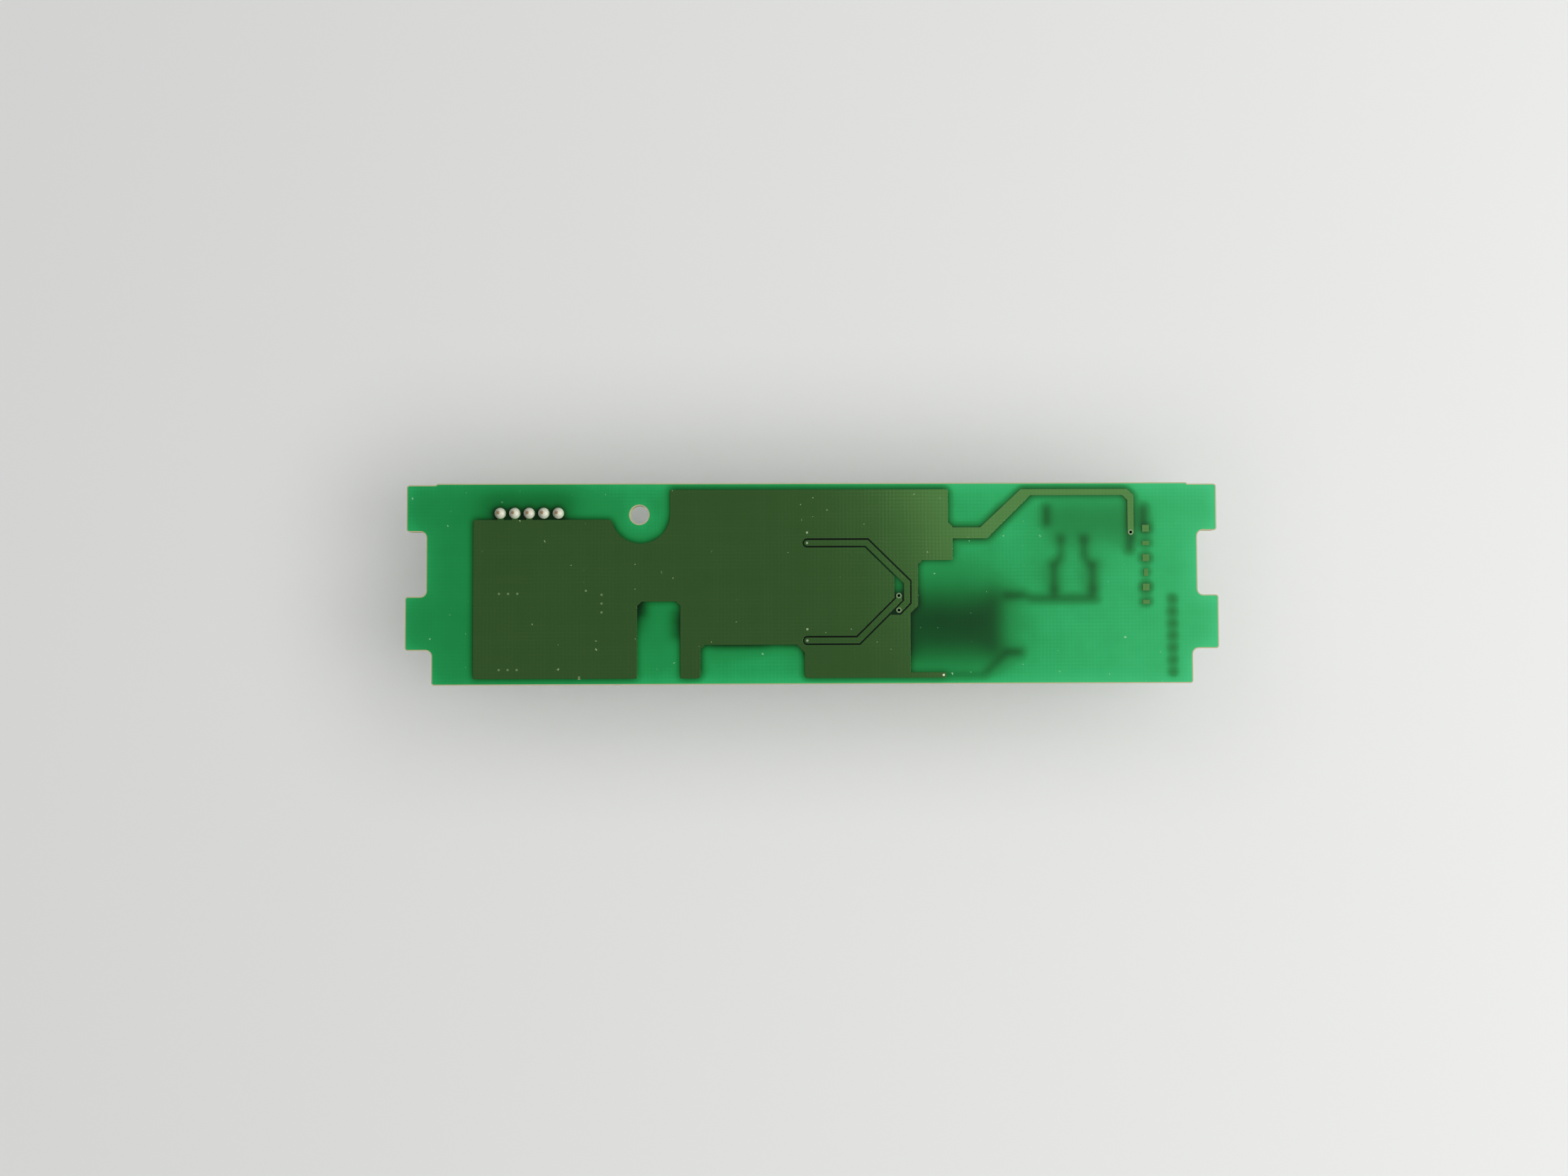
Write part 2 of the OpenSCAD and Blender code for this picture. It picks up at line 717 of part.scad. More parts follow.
module lamp_connector_housing() {
    cell_wall = 0.5;
    back_wall = 1.2;
    color("#f0ede4")
        at_lamp()
            difference() {
                translate([-lamp_len / 2, -lamp_depth, 0])
                    cube([lamp_len, lamp_depth, lamp_h]);
                // The mouth, in two cells with a wall between them
                for (side = [0, 1])
                    mirror([side, 0, 0])
                        translate([cell_wall / 2, -lamp_depth + back_wall, lamp_wall])
                            cube([lamp_len / 2 - lamp_wall - cell_wall / 2, lamp_depth,
                                    lamp_h - 2 * lamp_wall]);
                // Slots for the contacts
                for (x = contact_x)
                    translate([x - lamp[0] - 0.35, -lamp_depth - 1, lamp_h / 2 - 0.35])
                        cube([0.7, back_wall + 1, 0.7]);
            }
}

module lamp_connector_contacts() {
    blade = 0.7;
    color("#cdb98a")
        at_lamp()
            for (x = contact_x)
                translate([x - lamp[0] - blade / 2, 0, 0]) {
                    // Blade in the mouth
                    translate([0, -lamp_depth - 0.3, lamp_h / 2 - blade / 2])
                        cube([blade, lamp_depth - 0.7, blade]);
                    // Leg and foot
                    translate([0, -lamp_depth - 0.6, 0])
                        cube([blade, 0.3, lamp_h / 2 + blade / 2]);
                    translate([0, -lamp_depth - 1.3, 0])
                        cube([blade, 0.7, 0.25]);
                }
}

module lamp_connector_tabs() {
    tab_t = 0.3;
    tab_len = 3.2;
    foot_wid = 1.3;
    color("#c8c8c4")
        at_lamp()
            for (side = [0, 1])
                mirror([side, 0, 0])
                    translate([lamp_len / 2, -tab_len, 0]) {
                        cube([tab_t, tab_len - 0.4, lamp_h * 0.6]);
                        translate([tab_t, 0, 0])
                            cube([foot_wid - tab_t, tab_len - 0.4, 0.25]);
                    }
}

// ---- transformer ----

// Local frame: the transformer's middle, z away from the board's pads
module at_trafo() {
    on_pads()
        translate([trafo[0], trafo[1], 0])
            children();
}

block_len = 2.4;
stand_off = 0.4;
flange_t = 0.7;
tube_wall = 0.5;
window = trafo_len - 2 * block_len;
primary_share = 0.26;
leg_z = tall_d / 2 - ferrite_t / 2;
flange_y = trafo_wid - 2 * side_leg_wid - 0.8;
hv_step = window * (1 - primary_share) / hv_sections;

// Places of the walls that part the windings, along X
flange_x = concat(
    [-window / 2, -window / 2 + window * primary_share],
    [for (i = [1:hv_sections]) -window / 2 + window * primary_share + i * hv_step]
);

module transformer_bobbin() {
    tube_y = middle_leg_wid + 2 * tube_wall;
    tube_z = ferrite_t + 2 * tube_wall;
    color("#26241f")
        at_trafo()
            difference() {
                union() {
                    for (side = [-1, 1])
                        translate([side * (trafo_len - block_len) / 2, 0, stand_off])
                            block([block_len, trafo_wid, leg_z - stand_off - 0.1]);
                    // Side walls of the blocks up to the bench
                    for (side = [-1, 1])
                        translate([side * (window / 2 + flange_t / 2), 0, stand_off])
                            block([flange_t, flange_y, tall_d - stand_off]);
                    for (x = flange_x)
                        translate([x, 0, stand_off + 0.3])
                            block([flange_t / 2, flange_y, tall_d - stand_off - 0.6]);
                    translate([0, 0, tall_d / 2 - tube_z / 2])
                        block([window, tube_y, tube_z]);
                }
                translate([0, 0, leg_z - 0.05])
                    block([trafo_len + 2, middle_leg_wid + 0.1, ferrite_t + 0.1]);
                // Slots that hold the terminals
                for (row = rows)
                    translate([-trafo_len / 2, row * trafo_pitch, stand_off + 0.6])
                        block([2.4, 0.5, 0.5]);
                for (row = [rows[0], rows[4]])
                    translate([trafo_len / 2, row * trafo_pitch, stand_off + 0.6])
                        block([2.4, 0.5, 0.5]);
            }
}

// One E-shaped half: a back with three legs, towards the middle from the given side
module ferrite_half(side) {
    gap = 0.05;
    back_len = 1.7;
    core_wid = flange_y + 2 * side_leg_wid + 0.4;
    half_len = window / 2 + flange_t + 0.1;
    color("#3c3a38")
        at_trafo()
            mirror([side < 0 ? 1 : 0, 0, 0])
                translate([0, 0, leg_z]) {
                    translate([half_len, -core_wid / 2, 0])
                        cube([back_len, core_wid, ferrite_t]);
                    for (y = [-core_wid / 2, core_wid / 2 - side_leg_wid])
                        translate([gap, y, 0])
                            cube([half_len - gap, side_leg_wid, ferrite_t]);
                    translate([gap, -middle_leg_wid / 2, 0])
                        cube([half_len - gap, middle_leg_wid, ferrite_t]);
                }
}

module ferrite_half_left() {
    ferrite_half(-1);
}

module ferrite_half_right() {
    ferrite_half(1);
}

// A square coil between two walls of the bobbin, with rounded corners
module coil(x_from, x_to, build) {
    inner_y = middle_leg_wid + 2 * tube_wall;
    inner_z = ferrite_t + 2 * tube_wall;
    translate([x_from, 0, tall_d / 2])
        rotate([90, 0, 90])
            linear_extrude(x_to - x_from)
                difference() {
                    polygon(rounded([
                        [-inner_y / 2 - build, -inner_z / 2 - build, 0.6],
                        [inner_y / 2 + build, -inner_z / 2 - build, 0.6],
                        [inner_y / 2 + build, inner_z / 2 + build, 0.6],
                        [-inner_y / 2 - build, inner_z / 2 + build, 0.6]
                    ]));
                    translate([-inner_y / 2, -inner_z / 2])
                        square([inner_y, inner_z]);
                }
}

coil_build = (tall_d - ferrite_t) / 2 - tube_wall - 0.55;

module primary_winding() {
    color("#b4642a")
        at_trafo()
            coil(flange_x[0] + flange_t / 4, flange_x[1] - flange_t / 4, coil_build);
}

module high_voltage_winding() {
    color("#a2461f")
        at_trafo()
            for (i = [1:hv_sections])
                coil(flange_x[i] + flange_t / 4, flange_x[i + 1] - flange_t / 4, coil_build - 0.15);
}

module transformer_terminals() {
    wire = 0.5;
    inside = 1.2;
    color("#cfcabb")
        at_trafo()
            for (side = [-1, 1], row = side < 0 ? rows : [rows[0], rows[4]])
                mirror([side < 0 ? 1 : 0, 0, 0])
                    translate([trafo_len / 2, row * trafo_pitch - wire / 2, 0]) {
                        translate([-inside, 0, stand_off + 0.6])
                            cube([inside + 0.5, wire, wire]);
                        translate([0.5, 0, 0])
                            cube([wire, wire, stand_off + 0.6 + wire]);
                        translate([0.5 + wire, 0, 0])
                            cube([side < 0 ? 0.4 : 1.3, wire, 0.3]);
                    }
}

// Polyester tape that binds the two ferrite halves
module transformer_tape() {
    tape_t = 0.12;
    tape_wid = 3.6;
    core_y = flange_y + 2 * side_leg_wid + 0.4;
    core_x = 2 * (window / 2 + flange_t + 0.1 + 1.7);
    color("#d9b53a")
        at_trafo()
            translate([0, 0, tall_d / 2 - ferrite_t / 2 + (ferrite_t - tape_wid * 0.7) / 2])
                difference() {
                    block([core_x + 2 * tape_t, core_y + 2 * tape_t, tape_wid * 0.7]);
                    translate([0, 0, -1])
                        block([core_x, core_y, tape_wid + 2]);
                }
}

// ---- two-ended parts ----

// Body of a part with solderable ends, along X
module chip_body(size, end) {
    translate([0, 0, 0.03])
        block([size[0] - 2 * end, size[1], size[2] - 0.03]);
}

module chip_ends(size, end) {
    for (side = [-1, 1])
        translate([side * (size[0] / 2 - end / 2), 0, 0])
            block([end, size[1], size[2]]);
}

hv_cap_end = 0.7;

module high_voltage_capacitor(i) {
    color("#b08a5a")
        on_pads()
            placed([hv_cap[i][0], hv_cap[i][1], 90])
                chip_body(hv_cap_size, hv_cap_end);
}

module high_voltage_capacitor_1() {
    high_voltage_capacitor(0);
}

module high_voltage_capacitor_2() {
    high_voltage_capacitor(1);
}

module high_voltage_capacitor_ends() {
    color("#c9c9c5")
        on_pads()
            for (p = hv_cap)
                placed([p[0], p[1], 90])
                    chip_ends(hv_cap_size, hv_cap_end);
}

fuse_end = 1.3;

module input_fuse_body() {
    color("#e8e3d6")
        on_pads()
            placed([fuse[0], fuse[1], 0])
                translate([0, 0, 0.15])
                    block([fuse_size[0] - 2 * fuse_end, fuse_size[1] - 0.3, fuse_size[2] - 0.3]);
}

module input_fuse_caps() {
    color("#d0ccbc")
        on_pads()
            placed([fuse[0], fuse[1], 0])
                chip_ends(fuse_size, fuse_end);
}

module film_capacitor_body() {
    color("#cfd3d6")
        on_pads()
            placed([film_cap[0], film_cap[1], 0])
                chip_body(film_cap_size, 0.6);
}

module film_capacitor_ends() {
    color("#b9b9b4")
        on_pads()
            placed([film_cap[0], film_cap[1], 0])
                chip_ends(film_cap_size, 0.6);
}

module diode_body() {
    color("#2a2a2a")
        on_pads()
            placed([diode[0], diode[1], 0])
                translate([0, 0, 0.1])
                    block([diode_size[0], diode_size[1], diode_size[2] - 0.1]);
}

module diode_leads() {
    strap_t = 0.2;
    strap_wid = 1.4;
    color("#c9c9c5")
        on_pads()
            placed([diode[0], diode[1], 0])
                for (side = [0, 1])
                    mirror([side, 0, 0])
                        translate([diode_size[0] / 2, -strap_wid / 2, 0]) {
                            cube([strap_t, strap_wid, diode_size[2] * 0.55]);
                            translate([strap_t, 0, 0])
                                cube([0.4, strap_wid, strap_t]);
                        }
}

// ---- electrolytic capacitor ----

can_base_h = 1;
can_foot = 0.1;

module electrolytic_can() {
    crimp_z = 1.9;
    crimp_r = 0.35;
    edge_r = 0.5;
    color("#c4c6c8")
        on_pads()
            translate([can[0], can[1], can_foot + can_base_h])
                rotate_extrude()
                    polygon(concat(
                        [[0, 0], [can_d / 2, 0], [can_d / 2, crimp_z - crimp_r - can_base_h]],
                        [for (a = [30:30:150])
                            [can_d / 2 - crimp_r * sin(a), crimp_z - can_base_h - crimp_r * cos(a)]],
                        [[can_d / 2, crimp_z + crimp_r - can_base_h]],
                        [for (a = [0:22.5:90])
                            [can_d / 2 - edge_r + edge_r * cos(a),
                                can_h - can_foot - can_base_h - edge_r + edge_r * sin(a)]],
                        [[0, can_h - can_foot - can_base_h]]
                    ));
}

module electrolytic_base() {
    corner = 1.6;
    half = can_base / 2;
    color("#2b2b2b")
        on_pads()
            translate([can[0], can[1], can_foot])
                difference() {
                    linear_extrude(can_base_h)
                        polygon([
                            [-half, -half], [half - corner, -half], [half, -half + corner],
                            [half, half - corner], [half - corner, half], [-half, half]
                        ]);
                    // Channels for the leads
                    for (side = [0, 1])
                        mirror([side, 0, 0])
                            translate([0.9, -0.35, -1])
                                cube([half, 0.7, 1.25]);
                }
}

module electrolytic_leads() {
    color("#cfcabb")
        on_pads()
            translate([can[0], can[1], 0])
                for (side = [0, 1])
                    mirror([side, 0, 0])
                        translate([0.9, -0.35, 0])
                            cube([can_base / 2 - 0.2, 0.7, can_foot + 0.25]);
}

// ---- choke ----

choke_base_t = 1;
drum_flange = 1.1;
drum_core_d = choke_d * 0.45;
drum_h = tall_d - choke_base_t;

module choke_drum() {
    color("#413f3d")
        on_pads()
            translate([choke[0], choke[1], choke_base_t]) {
                cylinder(d = choke_d, h = drum_flange);
                cylinder(d = drum_core_d, h = drum_h);
                translate([0, 0, drum_h - drum_flange])
                    cylinder(d = choke_d, h = drum_flange);
            }
}

// Wire coil, its turns drawn as ridges on the outside
module choke_winding() {
    coil_r = choke_d / 2 - 0.55;
    first = drum_flange + choke_wire_d / 2 + 0.02;
    span = drum_h - 2 * drum_flange - choke_wire_d - 0.04;
    turns = floor(span / choke_wire_d);
    step = span / turns;
    color("#b3622b")
        on_pads()
            translate([choke[0], choke[1], choke_base_t])
                rotate_extrude()
                    polygon(concat(
                        [[drum_core_d / 2 + 0.02, first - choke_wire_d / 2]],
                        [for (i = [0:turns], a = [-60:60:60])
                            [coil_r, first + i * step] + choke_wire_d / 2 * [cos(a), sin(a)]],
                        [[drum_core_d / 2 + 0.02, first + span + choke_wire_d / 2]]
                    ));
}

module choke_base_plate() {
    half = choke_base / 2;
    color("#1f1f1f")
        on_pads()
            translate([choke[0], choke[1], 0])
                linear_extrude(choke_base_t)
                    polygon(rounded([
                        [-half, -half, 1], [half, -half, 1], [half, half, 1], [-half, half, 1]
                    ]));
}

// ---- integrated circuits and transistors ----

// Moulded package with its leads along both long sides, which run along X
module package_body(size) {
    lift = 0.12;
    translate([0, 0, lift])
        difference() {
            block([size[0], size[1], size[2]]);
            // Slope along each long side, above the leads
            for (side = [-1, 1])
                translate([0, side * (size[1] / 2), size[2]])
                    rotate([side * -60, 0, 0])
                        translate([-size[0], -0.25, -0.25])
                            cube([2 * size[0], 0.5, 0.5]);
            // Dimple that marks pin one
            translate([-size[0] / 2 + 0.9, -size[1] / 2 + 1, size[2] - 0.1])
                cylinder(d = 0.7, h = 1);
        }
}

module package_leads(size, count) {
    for (side = [-1, 1], x = lead_row(count / 2))
        translate([x, side * size[1] / 2, 0])
            rotate(side * 90)
                gull_lead(1.05, 0.12 + size[2] * 0.45, lead_wid);
}

module controller_body() {
    color("#242424")
        on_pads()
            placed([controller[0], controller[1], 0])
                package_body(controller_size);
}

module controller_leads_row() {
    color("#c6c6c2")
        on_pads()
            placed([controller[0], controller[1], 0])
                package_leads(controller_size, controller_leads);
}

module input_switch_body() {
    color("#242424")
        on_pads()
            placed([input_switch[0], input_switch[1], 90])
                package_body(input_switch_size);
}

module input_switch_leads() {
    color("#c6c6c2")
        on_pads()
            placed([input_switch[0], input_switch[1], 90])
                package_leads(input_switch_size, input_switch_lead_count);
}

// Power transistor: its tab is soldered down and points to its via
drive_size = [6.1, 6.5, 2.3];
drive_tab = [5.4, 5.2, 0.5];

module at_drive(i) {
    on_pads()
        translate([drive_x, drive_y[i], 0])
            children();
}

// The metal tab, partly under the body
module drive_tab_block() {
    translate([-drive_size[0] / 2 - 1.15 + drive_tab[0] / 2, 0, 0])
        block(drive_tab);
}

module drive_transistor(i) {
    slope = 0.5;
    seam_z = 1.2;
    half = drive_size[0] / 2;
    color("#2a2a2a")
        at_drive(i)
            difference() {
                rotate([90, 0, 0])
                    translate([0, 0, -drive_size[1] / 2])
                        linear_extrude(drive_size[1])
                            polygon([
                                [-half, 0.1], [half, 0.1], [half, seam_z], [half - slope / 2, drive_size[2]],
                                [-half + slope, drive_size[2]], [-half, seam_z]
                            ]);
                drive_tab_block();
            }
}

module drive_transistor_1() {
    drive_transistor(0);
}

module drive_transistor_2() {
    drive_transistor(1);
}

module drive_transistor_leads() {
    color("#c6c6c2")
        for (i = [0, 1])
            at_drive(i) {
                drive_tab_block();
                for (side = [-1, 1])
                    translate([drive_size[0] / 2, side * 2.3, 0])
                        gull_lead(2.8, 1.1, 0.75, 0.4);
            }
}

// ---- small parts ----

module chip_resistor_bodies() {
    color("#1d1d1f")
        on_pads()
            for (place = resistor_places)
                placed(place)
                    chip_body(chip_size, chip_end);
}

module chip_capacitor_bodies() {
    color("#a98a64")
        on_pads()
            for (place = capacitor_places)
                placed(place)
                    chip_body([chip_size[0], chip_size[1], chip_size[2] + 0.3], chip_end);
}

module chip_part_ends() {
    color("#cfcfcb")
        on_pads() {
            for (place = resistor_places)
                placed(place)
                    chip_ends(chip_size, chip_end);
            for (place = capacitor_places)
                placed(place)
                    chip_ends([chip_size[0], chip_size[1], chip_size[2] + 0.3], chip_end);
        }
}

small_size = [2.9, 1.3, 1];

module small_transistor_bodies() {
    color("#242424")
        on_pads()
            for (place = small_transistor_places)
                placed(place)
                    translate([0, 0, 0.1])
                        block(small_size);
}

module small_transistor_leads() {
    color("#c6c6c2")
        on_pads()
            for (place = small_transistor_places)
                placed(place)
                    for (leg = [[-0.95, -1], [0.95, -1], [0, 1]])
                        translate([leg[0], leg[1] * small_size[1] / 2, 0])
                            rotate(leg[1] * 90)
                                gull_lead(0.6, 0.55, 0.42, 0.15);
}

board_laminate();
solder_side_copper();
component_side_copper();
open_vias();
filled_vias();
header_solder_joints();
input_header_housing();
input_header_pins();
lamp_connector_housing();
lamp_connector_contacts();
lamp_connector_tabs();
transformer_bobbin();
ferrite_half_left();
ferrite_half_right();
primary_winding();
high_voltage_winding();
transformer_terminals();
transformer_tape();
high_voltage_capacitor_1();
high_voltage_capacitor_2();
high_voltage_capacitor_ends();
input_fuse_body();
input_fuse_caps();
electrolytic_can();
electrolytic_base();
electrolytic_leads();
choke_drum();
choke_winding();
choke_base_plate();
controller_body();
controller_leads_row();
input_switch_body();
input_switch_leads();
drive_transistor_1();
drive_transistor_2();
drive_transistor_leads();
film_capacitor_body();
film_capacitor_ends();
diode_body();
diode_leads();
chip_resistor_bodies();
chip_capacitor_bodies();
chip_part_ends();
small_transistor_bodies();
small_transistor_leads();
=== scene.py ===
"""Looks of a backlight inverter board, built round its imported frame. It lies solder side up on a bench."""
import math

import bmesh
import bpy
import numpy as np
from mathutils import Matrix, Vector
from mathutils.bvhtree import BVHTree


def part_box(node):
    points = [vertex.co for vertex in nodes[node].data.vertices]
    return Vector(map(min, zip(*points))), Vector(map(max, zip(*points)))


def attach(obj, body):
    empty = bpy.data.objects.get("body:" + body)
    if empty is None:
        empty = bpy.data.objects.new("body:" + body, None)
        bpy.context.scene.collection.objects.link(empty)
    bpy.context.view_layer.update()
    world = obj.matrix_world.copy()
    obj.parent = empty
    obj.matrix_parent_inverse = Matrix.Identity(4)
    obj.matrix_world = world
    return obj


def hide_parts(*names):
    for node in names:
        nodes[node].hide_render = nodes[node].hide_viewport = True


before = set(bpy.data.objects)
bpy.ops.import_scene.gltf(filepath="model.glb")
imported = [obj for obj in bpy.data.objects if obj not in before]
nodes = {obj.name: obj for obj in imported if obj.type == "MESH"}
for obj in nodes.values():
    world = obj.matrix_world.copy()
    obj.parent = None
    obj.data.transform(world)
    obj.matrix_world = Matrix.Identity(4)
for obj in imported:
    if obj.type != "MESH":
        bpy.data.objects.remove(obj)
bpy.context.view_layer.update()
scene = bpy.context.scene
scene.view_settings.view_transform = "Standard"
MM = 0.001

# ---- Camera ----
# Held level above the bench, a little to the left of the board's middle,
# and leaning by a degree or two.
lens = bpy.data.cameras.new("camera")
lens.sensor_width = 36
lens.lens = 28.07
lens.clip_start = 10 * MM
camera = bpy.data.objects.new("camera", lens)
camera.location = Vector((-6.95, -6.99, 219.6)) * MM
camera.rotation_euler = [math.radians(turn) for turn in (1.689, -0.525, -0.185)]
scene.collection.objects.link(camera)
scene.camera = camera


# ---- Bench ----
# A wide sheet of white foam, plain and matt. Light wanders far inside it, so shadows on it stay soft.
# It is not part of the object.
def srgb(code):
    """Linear colour, with alpha, of an sRGB hex value."""
    parts = [int(code[i:i + 2], 16) / 255 for i in (1, 3, 5)]
    return [p / 12.92 if p <= 0.04045 else ((p + 0.055) / 1.055) ** 2.4 for p in parts] + [1]


def add(tree, kind, sockets=None, **settings):
    """Adds a shader node with its settings. A socket given another node's output is linked to it."""
    made = tree.nodes.new("ShaderNode" + kind)
    for name, value in settings.items():
        setattr(made, name, value)
    for name, value in (sockets or {}).items():
        if isinstance(value, bpy.types.NodeSocket):
            tree.links.new(value, made.inputs[name])
        else:
            made.inputs[name].default_value = value
    return made


def calc(tree, operation, *values, **settings):
    """Result of a maths node."""
    return add(tree, "Math", dict(enumerate(values)), operation=operation, **settings).outputs[0]


def remap(tree, value, start, end, at_start=0, at_end=1, **settings):
    """Moves a value from the span between start and end to a new span, and keeps it in there."""
    made = add(tree, "MapRange", {"Value": value, "From Min": start, "From Max": end, "To Min": at_start,
                                  "To Max": at_end}, **settings)
    return made.outputs["Result"]


def mix(tree, share, first, second):
    """Colour that goes from the first to the second with share. Each is a hex value or a node's output."""
    first, second = [srgb(colour) if isinstance(colour, str) else colour for colour in (first, second)]
    return add(tree, "MixRGB", {"Fac": share, "Color1": first, "Color2": second}).outputs["Color"]


def finish(name, **shader):
    """A new material: returns it, its tree and its shader, with the named sockets set."""
    made = bpy.data.materials.new(name)
    made.use_nodes = True
    surface = made.node_tree.nodes["Principled BSDF"]
    for socket, value in shader.items():
        surface.inputs[socket.replace("_", " ")].default_value = value
    return made, made.node_tree, surface


def piece(name, shape, material):
    """Closes a bmesh into an object of that name with one material."""
    mesh = bpy.data.meshes.new(name)
    shape.to_mesh(mesh)
    shape.free()
    if "custom_normal" in mesh.attributes:
        mesh.attributes.remove(mesh.attributes["custom_normal"])
    mesh.materials.clear()
    mesh.materials.append(material)
    made = bpy.data.objects.new(name, mesh)
    scene.collection.objects.link(made)
    return made


foam, tree, surface = finish("white_foam_sheet", Roughness=0.9, Specular_IOR_Level=0.15,
                             Subsurface_Scale=130 * MM)
surface.inputs["Subsurface Radius"].default_value = (1, 1, 1)
# Only the foam round the board needs its depth: the rest of the sheet is plain matt white
board_low, board_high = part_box("board_laminate")
near_half = (board_high.x, board_high.y, 1)
place = add(tree, "TexCoord").outputs["Object"]
size = add(tree, "VectorMath", {0: place}, operation="ABSOLUTE").outputs[0]
past = add(tree, "VectorMath", {0: size, 1: near_half}, operation="SUBTRACT").outputs[0]
outside = add(tree, "VectorMath", {0: past, 1: (0, 0, 0)}, operation="MAXIMUM").outputs[0]
gap = add(tree, "VectorMath", {0: outside}, operation="LENGTH").outputs["Value"]
deep_to, plain_from = 8 * MM, 26 * MM
tree.links.new(remap(tree, gap, deep_to, plain_from, 1, 0), surface.inputs["Subsurface Weight"])
# Far out it fades into the pale room, so that no edge or pool of light shows behind the object
fade_from, fade_to = 0.1, 0.3
far_out = remap(tree, gap, fade_from, fade_to, interpolation_type="SMOOTHSTEP")
seen = add(tree, "LightPath").outputs["Is Camera Ray"]
surface.inputs["Emission Color"].default_value = srgb("#ececec")
tree.links.new(mix(tree, far_out, "#ebecea", "#000000"), surface.inputs["Base Color"])
tree.links.new(calc(tree, "MULTIPLY", far_out, seen), surface.inputs["Emission Strength"])

bench_half = 2.0
sheet = bmesh.new()
bmesh.ops.create_grid(sheet, x_segments=1, y_segments=1, size=bench_half)
bench = piece("bench", sheet, foam)


# ---- Studio light ----
# A large soft window low on the right, and an even, pale room. The ceiling is dim to the left,
# so that the glossy board keeps its colour there.
window_far, window_side, window_watts = 1.1, 0.9, 11.2
light = bpy.data.lights.new("window", "AREA")
light.size = window_side
light.energy = window_watts
window = bpy.data.objects.new("window", light)
window.location = Vector((1.0, -0.14, 0.75)).normalized() * window_far
window.rotation_euler = window.location.to_track_quat("Z", "Y").to_euler()
scene.collection.objects.link(window)

room_dim, room_bright, room_seen = 0.148, 0.63, 0.84
dim_way = Vector((-0.6, -0.25, 0.85)).normalized()  # towards the dim side of the ceiling
dim_edge, dim_core = 0.69, 0.711  # cosines of the angles from there between which it goes dim
world = bpy.data.worlds.new("room")
scene.world = world
world.use_nodes = True
tree = world.node_tree
way = add(tree, "TexCoord").outputs["Generated"]
near = add(tree, "VectorMath", {0: way, 1: dim_way}, operation="DOT_PRODUCT").outputs["Value"]
level = remap(tree, near, dim_edge, dim_core, room_bright, room_dim)
seen = add(tree, "LightPath").outputs["Is Camera Ray"]
strength = remap(tree, seen, 0, 1, level, room_seen)
background = tree.nodes["Background"]
background.inputs["Color"].default_value = srgb("#ffffff")
tree.links.new(strength, background.inputs["Strength"])


# ---- Laminate ----
# Glass cloth in epoxy, 1.6 mm thick, routed to shape. Its cut edges are bare and show the plies
# of cloth as fine lines, and a hair of it is bare all round the solder mask.
def in_mm(tree):
    """The piece's own coordinates, in millimetres."""
    place = add(tree, "TexCoord").outputs["Object"]
    return add(tree, "VectorMath", {0: place, "Scale": 1 / MM}, operation="SCALE").outputs[0]


WAVE_TURN = 2 * math.pi / 20  # length of one band of a wave texture at scale 1


def level_lines(tree, place, spacing, wobble):
    """Level lines, spacing millimetres apart."""
    return add(tree, "TexWave", {"Vector": place, "Scale": WAVE_TURN / spacing, "Distortion": wobble},
               wave_type="BANDS", bands_direction="Z").outputs["Fac"]


def clouds(tree, place, scale, detail=2.0):
    """Soft noise, with about scale clouds to a millimetre."""
    return add(tree, "TexNoise", {"Vector": place, "Scale": scale, "Detail": detail}).outputs["Fac"]


def coat(tree, surface, colour, height=None, strength=1.0, deep=0.01):
    """Gives a shader its colour, and where a height is given a bump of deep millimetres."""
    tree.links.new(colour, surface.inputs["Base Color"])
    if height is not None:
        bump = add(tree, "Bump", {"Height": height, "Strength": strength, "Distance": deep * MM})
        tree.links.new(bump.outputs["Normal"], surface.inputs["Normal"])


def cut_laminate():
    """Epoxy and glass as the router leaves it: tan and dull, with a line for each ply."""
    ply = 0.2
    made, tree, surface = finish("bare_glass_epoxy", Roughness=0.62, IOR=1.55)
    place = in_mm(tree)
    plies = level_lines(tree, place, ply, 0.4)
    stain = clouds(tree, place, 0.35, 3.0)
    tone = mix(tree, stain, mix(tree, plies, "#b3ae86", "#cdc9a2"), "#bfb98c")
    coat(tree, surface, tone, plies, 0.35, 0.02)
    return made


def dress(name, material):
    """Gives a node of the frame its material."""
    slots = nodes[name].data.materials
    slots.clear()
    slots.append(material)


dress("board_laminate", cut_laminate())


# ---- Marks ----
# Small plain squares of copper where a board carries its etched marks: a column on the solder side
# and one on the component side, which shows only as a faint painted shade in the colour of the mask above it.
copper_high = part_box("solder_side_copper")[1]
pads_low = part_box("component_side_copper")[0]
under_z, top_z = board_low.z, board_high.z
copper_t = copper_high.z - top_z
mark_t = copper_t * 0.9  # a little thinner than the copper beside them


def marks(name, x, y_first, pitch, sizes, low_z, high_z, material):
    """A column of plain marks, from y_first downwards. The heights are in metres, the rest in millimetres."""
    column = bmesh.new()
    for row, (wide, tall) in enumerate(sizes):
        middle = Vector((x, y_first - row * pitch, (low_z + high_z) / 2 / MM)) * MM
        size = Matrix.Diagonal((wide * MM, tall * MM, high_z - low_z, 1))
        bmesh.ops.create_cube(column, size=1, matrix=Matrix.Translation(middle) @ size)
    return piece(name, column, material)


